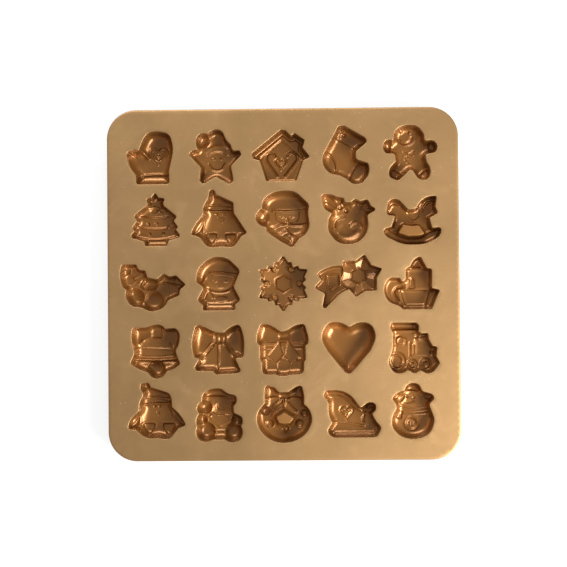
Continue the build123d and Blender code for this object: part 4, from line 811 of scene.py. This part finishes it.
def snowman():
    mouth = [
        (-5, 16.7, 3.6), (-2.5, 17.9, 4.9), (1.8, 17.5, 3.8), (4.2, 12.9, 2), (10.3, 11.1, 3.2),
        (11.2, 8.4, 1.6), (8, 5.2, 2), (9.4, 1.2, 3), (11.4, -4, 7.3), (8.7, -12.5, 8.8), (0, -15.9, 14.9),
        (-9.1, -14, 11.2), (-14.4, -8, 7.5), (-13.7, -1, 11.5), (-11, 2.8, 3), (-11.8, 6, 1.5),
        (-14, 8.4, 1.6), (-11.3, 12.3, 8.5), (-6.8, 13.2, 1),
    ]

    def floor(p):
        tilt = p.y + 0.08 * p.x
        depth = FULL - 0.8 + swell(p.mouth, 0.5, 8) + swell(both(p.mouth, 1 - p.y), 0.7, 7)
        depth += swell(both(p.mouth, tilt - 12.8, p.x + 6.6, 4.4 - p.x), 0.8, 2)
        rings = [[(-9, 11.4), (-3, 13), (4.6, 12)], [(-11.6, 8.2), (-7.6, 11), (-2, 11.8), (3, 10.8), (6, 8)],
                 [(-9, 5.8), (-6.6, 8.4), (-6, 10)]]
        depth += p.lines(rings, -0.6, 0.55)
        scarf = [[(-9.4, 4.8), (-5, 3.4), (1, 3.2), (8.6, 4.6)],
                 [(-9.6, 2.8), (-5, 1.4), (1, 1.2), (8.4, 2.4)],
                 [(-8, 0.2), (-3, -0.6), (3, -0.4), (8, 0.4)]]
        depth += p.lines(scarf, 0.7, 0.6)
        depth += raise_by(p.patch((-9.8, 1.8), (-7.4, 1.4), (-8.6, -3.6), (-11.4, -2.8), r=0.5), 0.9, 0.8)
        button = p.disc(-2.6, -6, 3.9)
        depth += crease(button, -0.6, 0.5) + swell(button - 0.8, 0.5, 1.2)
        depth -= p.dots([(-1.8, -5.2), (-3.4, -5.2), (-3.4, -6.8), (-1.8, -6.8)], 0.8, 0.45)
        depth += p.dots([(-5, 9.8), (-1, 9.2)], 0.8, 0.8)
        nose = p.patch((-6.4, 7), (-5.2, 5.6), (0.2, 6.8), (-2.6, 8), r=0.4)
        return depth + raise_by(nose, 0.6, 0.6)

    return dict(mouth=mouth, floor=floor, foot=3.3)


MOTIFS = (
    (mitten, star, house, stocking, gingerbread),
    (tree, penguin, bearded_man, bauble, rocking_horse),
    (holly, hatted_child, snowflake, comet, candle),
    (bell, bow, gift, heart, train),
    (penguin_chick, teddy, wreath, sleigh, snowman),
)


# Plan meshes: a cell seen from above, flat, with what its height follows kept on its points

COLUMN_SEAM = (-105.0, -57.6, -19.5, 17.9, 59.0, 105.0)
ROW_SEAM = (105.0, 58.25, 19.3, -19.3, -57.1, -105.0)


def distance_from_edge(x, y):
    """How far points are inside the sheet's rounded square."""
    over_x = np.abs(x) - (HALF_SIDE - CORNER)
    over_y = np.abs(y) - (HALF_SIDE - CORNER)
    past = np.hypot(np.maximum(over_x, 0), np.maximum(over_y, 0))
    return CORNER - past - np.minimum(np.maximum(over_x, over_y), 0)


def edge_rings():
    """Points around the sheet, at the rim and where its rounding ends, with one on each seam."""
    rings = []
    straight = HALF_SIDE - CORNER
    for inset in (0, 0.07, 0.26, 0.53, EDGE):
        reach = HALF_SIDE - inset
        across = sorted({round(v, 4) for v in np.arange(-straight, straight + 0.01,
                                                        SEAM_STEP)} | set(COLUMN_SEAM[1:5]))
        down = sorted({round(v, 4) for v in np.arange(-straight, straight + 0.01,
                                                      SEAM_STEP)} | set(ROW_SEAM[1:5]))
        for v in across:
            rings += [(v, reach), (v, -reach)]
        for v in down:
            rings += [(reach, v), (-reach, v)]
        for k in range(1, 45):
            a = math.radians(2 * k)
            c, s = straight + (CORNER - inset) * math.cos(a), straight + (CORNER - inset) * math.sin(a)
            rings += [(c, s), (-c, s), (c, -s), (-c, -s)]
    return np.array(rings)


def seam_points(first, last):
    """Places along a seam from one crossing to the next, the same for the cells on both sides."""
    low, high = min(first, last), max(first, last)
    start = low + EDGE + 0.4 if low <= -HALF_SIDE else low
    end = high - EDGE - 0.4 if high >= HALF_SIDE else high
    return np.linspace(start, end, max(2, round((end - start) / SEAM_STEP)) + 1)


def hexagons(x0, x1, y0, y1, step):
    """An even grid of points in alternate rows."""
    rows = np.arange(y0, y1, step * 0.866)
    grid = [(x + (k % 2) * step / 2, y) for k, y in enumerate(rows) for x in np.arange(x0, x1, step)]
    return np.array(grid)


def offset_rings(outline, insets):
    """Points at given distances inside a closed outline (outside it where negative), along its run."""
    run = np.roll(outline, -1, 0) - outline
    length = np.hypot(*run.T)
    turn = np.sign((outline[:, 0] * np.roll(outline[:, 1], -1) - outline[:, 1] * np.roll(outline[:, 0],
                                                                                         -1)).sum())
    inward = turn * np.stack([-run[:, 1], run[:, 0]], 1) / length[:, None]
    corner = inward + np.roll(inward, 1, 0)
    corner /= np.maximum(np.hypot(*corner.T), 1e-9)[:, None]
    places, ways = [outline], [corner]
    parts = np.ceil(length / ALONG)
    for k in range(1, int(parts.max())):
        here = parts > k
        places.append((outline + run * (k / parts)[:, None])[here])
        ways.append(inward[here])
    places, ways = np.concatenate(places), np.concatenate(ways)
    points = []
    for inset in insets:
        ring = places + ways * inset
        far = np.abs(inside_of(outline, *ring.T) - inset) < 0.03
        points.append(ring[far])
    return np.concatenate(points)


def thinned(points, least):
    """The points that are not in the same small square as one before them."""
    seen, kept = set(), []
    for point in points:
        square = (round(point[0] / least), round(point[1] / least))
        if square not in seen:
            seen.add(square)
            kept.append(point)
    return np.array(kept)


RIM = edge_rings()


def plan_mesh(name, row, column, motif):
    """One cell as two flat layers joined around its border, counter-clockwise seen from outside."""
    x0, x1 = COLUMN_SEAM[column], COLUMN_SEAM[column + 1]
    y0, y1 = ROW_SEAM[row + 1], ROW_SEAM[row]
    centre = np.array((COLUMN_AT[column], ROW_AT[row]))
    foot = motif["foot"]
    outline = rounded(motif["mouth"])
    island = rounded(motif["island"]) if "island" in motif else None

    rim = RIM[(RIM[:, 0] >= x0) & (RIM[:, 0] <= x1) & (RIM[:, 1] >= y0) & (RIM[:, 1] <= y1)]
    seams = []
    for x in (x0, x1):
        if abs(x) < HALF_SIDE:
            seams += [(x, y) for y in seam_points(y0, y1)]
    for y in (y0, y1):
        if abs(y) < HALF_SIDE:
            seams += [(x, y) for x in seam_points(x0, x1)]
    frame_points = thinned(np.concatenate([rim, np.array(seams)]), 0.01)
    edge = distance_from_edge(*frame_points.T)
    on_seam = np.zeros(len(frame_points), bool)
    for line in (x0, x1):
        on_seam |= (np.abs(frame_points[:, 0] - line) < 1e-6) & (abs(line) < HALF_SIDE)
    for line in (y0, y1):
        on_seam |= (np.abs(frame_points[:, 1] - line) < 1e-6) & (abs(line) < HALF_SIDE)
    on_border = on_seam | (edge < 1e-6)
    border = frame_points[on_border]
    around = np.argsort(np.arctan2(border[:, 1] - centre[1], border[:, 0] - centre[0]))
    border = border[around]
    cut = on_seam[on_border][around]
    inner_rim = frame_points[~on_border]

    quarter = [math.radians(a) for a in (0, 22.5, 45, 67.5, 90)]
    foot_turns = np.radians(np.linspace(0, 90, max(5, round(foot * 3.2)) + 1))[1:]
    top_insets = [-LIP + LIP * math.sin(a) for a in quarter] + [LEAN * 0.5, LEAN]
    top_insets += [LEAN + foot * (1 - math.cos(a)) for a in foot_turns]
    under_insets = [-WALL - SHELL_JOINT + SHELL_JOINT * math.sin(a) for a in quarter] + [LEAN - WALL]
    under_insets += [LEAN - WALL + SHELL_FOOT * (1 - math.cos(a)) for a in quarter[1:]]

    layers = []
    for insets, fine in ((top_insets, True), (under_insets, False)):
        rings = offset_rings(outline, insets)
        if fine and island is not None:
            island_rings = offset_rings(island, [-i for i in insets])
            rings = rings[inside_of(island, *rings.T) < -0.02]
            rings = np.concatenate([rings, island_rings[inside_of(outline, *island_rings.T) > 0.02]])
        web = hexagons(x0 - centre[0], x1 - centre[0], y0 - centre[1], y1 - centre[1], WEB_GRID)
        web_gap = LIP if fine else WALL + SHELL_JOINT
        web = web[inside_of(outline, *web.T) < -web_gap - 0.5]
        lowest, highest = outline.min(0), outline.max(0)
        floor = hexagons(lowest[0], highest[0], lowest[1], highest[1], FLOOR_GRID if fine else WEB_GRID)
        clear = inside_of(outline, *floor.T)
        if fine and island is not None:
            clear = np.minimum(clear, -inside_of(island, *floor.T))
        floor = floor[clear > (LEAN + foot + 0.15 if fine else LEAN - WALL + SHELL_FOOT + 0.8)]
        parts = [rings, floor, web]
        if fine and island is not None:
            flat = hexagons(*island.min(0)[:1], *island.max(0)[:1], *island.min(0)[1:], *island.max(0)[1:],
                            1.2)
            parts.append(flat[inside_of(island, *flat.T) > LIP + 0.3])
        loose = np.concatenate(parts) + centre
        gap = np.minimum.reduce([loose[:, 0] - x0, x1 - loose[:, 0], loose[:, 1] - y0, y1 - loose[:, 1]])
        loose = loose[(gap > 0.25) & (distance_from_edge(*loose.T) > EDGE + 0.3)]
        layers.append(np.concatenate([border, thinned(np.concatenate([inner_rim, loose]), 0.09)]))

    count = len(border)
    vertices, faces, kept = [], [], []
    for is_top, points in zip((True, False), layers):
        local = points - centre
        found, _, triangles, source, _, _ = delaunay_2d_cdt([Vector(p) for p in local], [], [], 0, 1e-7)
        start = len(vertices)
        first = {old: new for new, olds in enumerate(source) for old in olds}
        place = [first[k] for k in range(count)]
        spots = np.array([(v.x, v.y) for v in found])
        inside = inside_of(outline, *spots.T)
        level = np.zeros(len(spots))
        if is_top and island is not None:
            hole = -inside_of(island, *spots.T)
            level = np.where(hole < inside, ISLAND, 0)
            inside = np.minimum(inside, hole)
        inside[place] = np.minimum(inside[place], -WALL - SHELL_JOINT)
        world = spots + centre
        depth = np.full(len(spots), FULL)
        if is_top:
            low = inside > -0.1
            nearer = 1 + 9.5 / (CAMERA_AT[2] - TOP)
            seen = np.array(CAMERA_AT[:2]) + (world - CAMERA_AT[:2]) / nearer - centre
            depth[low] = motif["floor"](Plan(*seen[low].T, inside[low]))
        edge = distance_from_edge(*world.T)
        vertices += [(x * MM, y * MM, 0) for x, y in world]
        kept += [(float(is_top), i * MM, d * MM, v * MM, e * MM) for i, d, v,
                 e in zip(inside, depth, level, edge)]
        for triangle in triangles:
            corners = [start + k for k in triangle]
            faces.append(corners if is_top else corners[::-1])
        if is_top:
            top_place = [start + k for k in place]
        else:
            under_place = [start + k for k in place]
    for k in range(count):
        n = (k + 1) % count
        faces.append((under_place[k], under_place[n], top_place[n], top_place[k]))

    mesh = bpy.data.meshes.new(name)
    mesh.from_pydata(vertices, [], faces)
    for title, values in zip(("side", "inside", "floor", "level", "edge"), zip(*kept)):
        mesh.attributes.new(title, "FLOAT", "POINT").data.foreach_set("value", values)
    sharp = set()
    for places in (top_place, under_place):
        for k in range(count):
            n = (k + 1) % count
            if cut[k] and cut[n]:
                sharp.add((min(places[k], places[n]), max(places[k], places[n])))
    for k in range(count):
        if cut[k]:
            sharp.add((min(top_place[k], under_place[k]), max(top_place[k], under_place[k])))
    marks = [tuple(sorted(e.vertices)) in sharp for e in mesh.edges]
    mesh.attributes.new("sharp_edge", "BOOLEAN", "EDGE").data.foreach_set("value", marks)
    return mesh


# Node trees

class Value:
    """A number that a node gives; arithmetic on it adds Math nodes."""

    def __init__(self, nodes, socket):
        self.nodes = nodes
        self.socket = socket

    def math(self, operation, *others):
        numbers = dict(enumerate((self,) + others))
        return self.nodes.add("ShaderNodeMath", {"operation": operation}, numbers)

    def __add__(self, other):
        return self.math("ADD", other)

    __radd__ = __add__

    def __mul__(self, other):
        return self.math("MULTIPLY", other)

    __rmul__ = __mul__

    def __sub__(self, other):
        return self.math("SUBTRACT", other)

    def __rsub__(self, other):
        return self * -1 + other

    def __truediv__(self, other):
        return self.math("DIVIDE", other)

    def __neg__(self):
        return self * -1

    def root(self):
        return self.math("SQRT")

    def between(self, low, high):
        return self.math("MAXIMUM", low).math("MINIMUM", high)

    def share(self, low, high):
        """Nought at low and one at high, held there beyond them."""
        return ((self - low) / (high - low)).between(0, 1)


class Nodes:
    """Adds nodes to a tree."""

    def __init__(self, tree):
        self.tree = tree
        tree.nodes.clear()

    def add(self, kind, settings=None, sockets=None, give=0):
        node = self.tree.nodes.new(kind)
        for name, setting in (settings or {}).items():
            if name == "stops":
                ramp = node.color_ramp
                for k, (place, colour) in enumerate(setting):
                    stop = ramp.elements[k] if k < 2 else ramp.elements.new(place)
                    stop.position = place
                    stop.color = colour
            else:
                setattr(node, name, setting)
        for name, value in (sockets or {}).items():
            if isinstance(value, Value):
                self.tree.links.new(value.socket, node.inputs[name])
            else:
                node.inputs[name].default_value = value
        return Value(self, node.outputs[give]) if node.outputs else node


def arc_drop(far, radius):
    """How far a quarter circle of a radius has dropped, a distance along from its level end."""
    return radius - (radius * radius - far * far).root()


def moulded_cell_tree():
    """Raises a flat cell: its top with a rounded lip, a wall and a rounded floor, and the shell below."""
    tree = bpy.data.node_groups.new("moulded cell", "GeometryNodeTree")
    tree.interface.new_socket("Geometry", in_out="INPUT", socket_type="NodeSocketGeometry")
    for name in ("Top", "Sheet", "Edge", "Lip", "Lean", "Foot", "Wall", "Joint", "Shell foot"):
        tree.interface.new_socket(name, in_out="INPUT", socket_type="NodeSocketFloat")
    tree.interface.new_socket("Material", in_out="INPUT", socket_type="NodeSocketMaterial")
    tree.interface.new_socket("Geometry", in_out="OUTPUT", socket_type="NodeSocketGeometry")
    nodes = Nodes(tree)
    given = nodes.tree.nodes.new("NodeGroupInput")

    def size(name):
        return Value(nodes, given.outputs[name])

    def kept(name):
        return nodes.add("GeometryNodeInputNamedAttribute", {"data_type": "FLOAT"}, {"Name": name})

    top, sheet, edge_round, lip = size("Top"), size("Sheet"), size("Edge"), size("Lip")
    lean, foot, wall = size("Lean"), size("Foot"), size("Wall")
    joint, shell_foot = size("Joint"), size("Shell foot")
    inside, floor, level = kept("inside"), kept("floor"), kept("level")
    rim = arc_drop(edge_round - kept("edge").between(0, edge_round), edge_round)

    over_lip = (inside + lip).between(0, lip)
    on_wall = (inside / lean).between(0, 1)
    over_foot = (inside - lean).between(0, foot)
    back = foot - over_foot
    depth = level + arc_drop(over_lip, lip) + (floor - foot - lip - level) * on_wall
    depth = depth + (foot * foot - back * back).root()
    upper = top - depth - rim

    outside = -inside - wall
    joining = (joint - outside).between(0, joint)
    falling = (-outside / lean).between(0, 1)
    turning = shell_foot - (-outside - lean).between(0, shell_foot)
    below = arc_drop(joining, joint) + (top - sheet - joint - shell_foot) * falling
    below = below + (shell_foot * shell_foot - turning * turning).root()
    lower = top - sheet - below + rim

    height = lower + (upper - lower) * kept("side")
    lift = nodes.add("ShaderNodeCombineXYZ", None, {"Z": height})
    shape = nodes.add("GeometryNodeSetPosition", None,
                      {"Geometry": Value(nodes, given.outputs[0]), "Offset": lift})
    shape = nodes.add("GeometryNodeSetShadeSmooth", None, {"Geometry": shape})
    shape = nodes.add("GeometryNodeRealizeInstances", None, {"Geometry": shape})
    shape = nodes.add("GeometryNodeSetMaterial", None, {"Geometry": shape, "Material": size("Material")})
    nodes.add("NodeGroupOutput", None, {"Geometry": shape})
    return tree


def moulded_cell(name, tree, mesh, foot, material):
    """The finished cell: the tree's result as a plain mesh."""
    drawn = bpy.data.objects.new(name + "_plan", mesh)
    bpy.context.scene.collection.objects.link(drawn)
    modifier = drawn.modifiers.new("moulded cell", "NODES")
    modifier.node_group = tree
    sizes = {
        "Top": TOP, "Sheet": SHEET, "Edge": EDGE, "Lip": LIP, "Lean": LEAN, "Foot": foot,
        "Wall": WALL, "Joint": SHELL_JOINT, "Shell foot": SHELL_FOOT,
    }
    for socket in tree.interface.items_tree:
        if socket.name in sizes:
            modifier[socket.identifier] = sizes[socket.name] * MM
        elif socket.name == "Material":
            modifier[socket.identifier] = material
    result = drawn.evaluated_get(bpy.context.evaluated_depsgraph_get())
    shape = bpy.data.meshes.new_from_object(result)
    bpy.data.objects.remove(drawn)
    for title in ("side", "inside", "floor", "level", "edge"):
        if title in shape.attributes:
            shape.attributes.remove(shape.attributes[title])
    shape.name = name
    piece = bpy.data.objects.new(name, shape)
    bpy.context.scene.collection.objects.link(piece)
    return piece


# The silicone: a satin, pearly brown gold, with dust, fine scratches and wiped smudges, and painted shade in
# its pockets and on their steep walls

def pearl_silicone():
    material = bpy.data.materials.new("pearl brown silicone")
    material.use_nodes = True
    nodes = Nodes(material.node_tree)
    place = nodes.add("ShaderNodeTexCoord", None, None, "Object")

    def noise(scale, detail=2.0, rough=0.5, at=place, **more):
        values = {"Vector": at, "Scale": scale, "Detail": detail, "Roughness": rough}
        values.update({k.replace("_", " "): v for k, v in more.items()})
        return nodes.add("ShaderNodeTexNoise", None, values)

    def mixed(factor, one, other, blend="MIX"):
        settings = {"data_type": "RGBA", "blend_type": blend}
        return nodes.add("ShaderNodeMix", settings, {0: factor, 6: one, 7: other}, 2)

    cloudy = noise(22, 3, 0.6)
    grain = noise(2600, 1)
    stretched = nodes.add("ShaderNodeMapping", None,
                          {"Vector": place, "Rotation": (0, 0, 0.5), "Scale": (60, 1400, 60)})
    scratch = noise(1.0, 2, 0.6, stretched).share(0.69, 0.76) * noise(30, 1).share(0.5, 0.62)
    crossing = nodes.add("ShaderNodeMapping", None,
                         {"Vector": place, "Rotation": (0, 0, -1.0), "Scale": (50, 1600, 50)})
    scratch = scratch.math("MAXIMUM", noise(1.0, 2, 0.6, crossing).share(0.7, 0.77) * noise(26,
                                                                                            1).share(0.52,
                                                                                                     0.64))
    dots = nodes.add("ShaderNodeTexVoronoi", None, {"Vector": place, "Scale": 330.0}, "Distance")
    dust = (1 - dots.share(0.03, 0.085)) * noise(90, 0).share(0.5, 0.6)
    smudge = noise(42, 2, 0.55, Distortion=1.4).share(0.55, 0.75)

    # Painted shade: the pockets take a darker, more saturated brown than the top face, standing in for the
    # shade inside them
    shaded_recess = mixed(cloudy.share(0.35, 0.65), (0.32, 0.125, 0.019, 1), (0.37, 0.148, 0.026, 1))
    top_face_colour = mixed(cloudy.share(0.35, 0.65), (0.42, 0.243, 0.099, 1), (0.47, 0.275, 0.116, 1))
    parts = nodes.add("ShaderNodeSeparateXYZ", None, {"Vector": place}, "Z")
    # One on the top face and nought in the pockets: it bounds the pockets' painted shade, and keeps the dust,
    # smudges and heavier grain to the top
    worn_top_unshaded = parts.share(0.0106, 0.0119)
    way = nodes.add("ShaderNodeSeparateXYZ", None,
                    {"Vector": nodes.add("ShaderNodeNewGeometry", None, None, "Normal")}, "Z")
    # Painted shade: steep pocket walls are darkened towards a dark brown, standing in for the shade on them
    steep_wall_shade = 1 - way.math("ABSOLUTE").share(0.2, 0.85)
    shaded_recess = mixed(steep_wall_shade * 0.6, shaded_recess, (0.12, 0.05, 0.011, 1))
    # Painted shade: the pockets get the darker shaded colour, the top face its own
    colour = mixed(worn_top_unshaded, shaded_recess, top_face_colour)
    colour = mixed(grain.share(0.3, 0.7) * (worn_top_unshaded * 0.24 + 0.06), colour, (0.52, 0.33, 0.16, 1))
    colour = mixed(smudge * worn_top_unshaded * 0.18, colour, (0.5, 0.33, 0.17, 1))
    colour = mixed(scratch * 0.35, colour, (0.66, 0.5, 0.32, 1))
    colour = mixed(dust * worn_top_unshaded * 0.85, colour, (0.78, 0.68, 0.54, 1))
    rough = cloudy.share(0.3, 0.7) * 0.05 + 0.34 + worn_top_unshaded * 0.13 + smudge * 0.05
    rough = rough + dust * 0.3 - scratch * 0.06
    waves = noise(55, 1) * 0.00022 + noise(170, 1) * 0.00005 + grain * 0.000006
    height = waves - scratch * 0.00001 + dust * 0.00003
    bump = nodes.add("ShaderNodeBump", None, {"Height": height, "Strength": 0.8, "Distance": 1.0})
    shader = nodes.add("ShaderNodeBsdfPrincipled", None, {
        "Base Color": colour, "Metallic": worn_top_unshaded * 0.3 + 0.55, "Roughness": rough, "Normal": bump,
        "Coat Weight": 0.42 - worn_top_unshaded * 0.36, "Coat Roughness": 0.24,
    })
    nodes.add("ShaderNodeOutputMaterial", None, {"Surface": shader})
    return material


silicone = pearl_silicone()
cell_tree = moulded_cell_tree()
for row, motifs in enumerate(MOTIFS):
    for column, motif in enumerate(motifs):
        name = motif.__name__
        made = motif()
        cell = moulded_cell(name, cell_tree, plan_mesh(name, row, column, made), made["foot"], silicone)
        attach(cell, "root")
        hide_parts(name + "_cell")


# Floor, light and camera

def pale_floor():
    mesh = bpy.data.meshes.new("floor")
    reach = 3.0
    low = -0.0003
    mesh.from_pydata([(-reach, -reach, low), (reach, -reach, low), (reach, reach, low),
                      (-reach, reach, low)], [], [(0, 1, 2, 3)])
    material = bpy.data.materials.new("white paper")
    material.use_nodes = True
    nodes = Nodes(material.node_tree)
    path = nodes.tree.nodes.new("ShaderNodeLightPath")
    seen = Value(nodes, path.outputs["Is Camera Ray"])
    seen = seen.math("MAXIMUM", Value(nodes, path.outputs["Is Glossy Ray"]))
    glow = nodes.add("ShaderNodeEmission", None, {"Color": (1, 1, 1, 1), "Strength": seen * 0.75})
    paper = nodes.add("ShaderNodeBsdfDiffuse", None, {"Color": (0.35, 0.35, 0.35, 1)})
    glowing_paper = nodes.add("ShaderNodeAddShader", None, {0: glow, 1: paper})
    nodes.add("ShaderNodeOutputMaterial", None, {"Surface": glowing_paper})
    mesh.materials.append(material)
    floor = bpy.data.objects.new("floor", mesh)
    bpy.context.scene.collection.objects.link(floor)


def softbox(name, at, size, power, aim=(0, 0, 0.01)):
    light = bpy.data.lights.new(name, "AREA")
    light.shape = "RECTANGLE"
    light.size, light.size_y = size
    light.energy = power
    lamp = bpy.data.objects.new(name, light)
    lamp.location = at
    lamp.rotation_euler = (Vector(aim) - Vector(at)).to_track_quat("-Z", "Y").to_euler()
    bpy.context.scene.collection.objects.link(lamp)


pale_floor()
softbox("right softbox", (0.44, -0.27, 0.33), (0.38, 0.3), 7.2)
softbox("far softbox", (-0.12, 0.6, 0.4), (0.5, 0.3), 3.4)

world = bpy.data.worlds.new("pale room")
bpy.context.scene.world = world
world.use_nodes = True
room = Nodes(world.node_tree)
room.add("ShaderNodeOutputWorld", None, {"Surface": room.add("ShaderNodeBackground", None,
                                                             {"Color": (1, 1, 1, 1), "Strength": 0.34})})

lens = bpy.data.cameras.new("camera")
lens.lens = CAMERA_LENS
lens.sensor_width = 36
lens.clip_start = 0.01
camera = bpy.data.objects.new("camera", lens)
camera.location = [v * MM for v in CAMERA_AT]
camera.rotation_euler = Euler([math.radians(a) for a in CAMERA_TURN], "XYZ")
bpy.context.scene.collection.objects.link(camera)
bpy.context.scene.camera = camera
bpy.context.scene.view_settings.view_transform = "Standard"
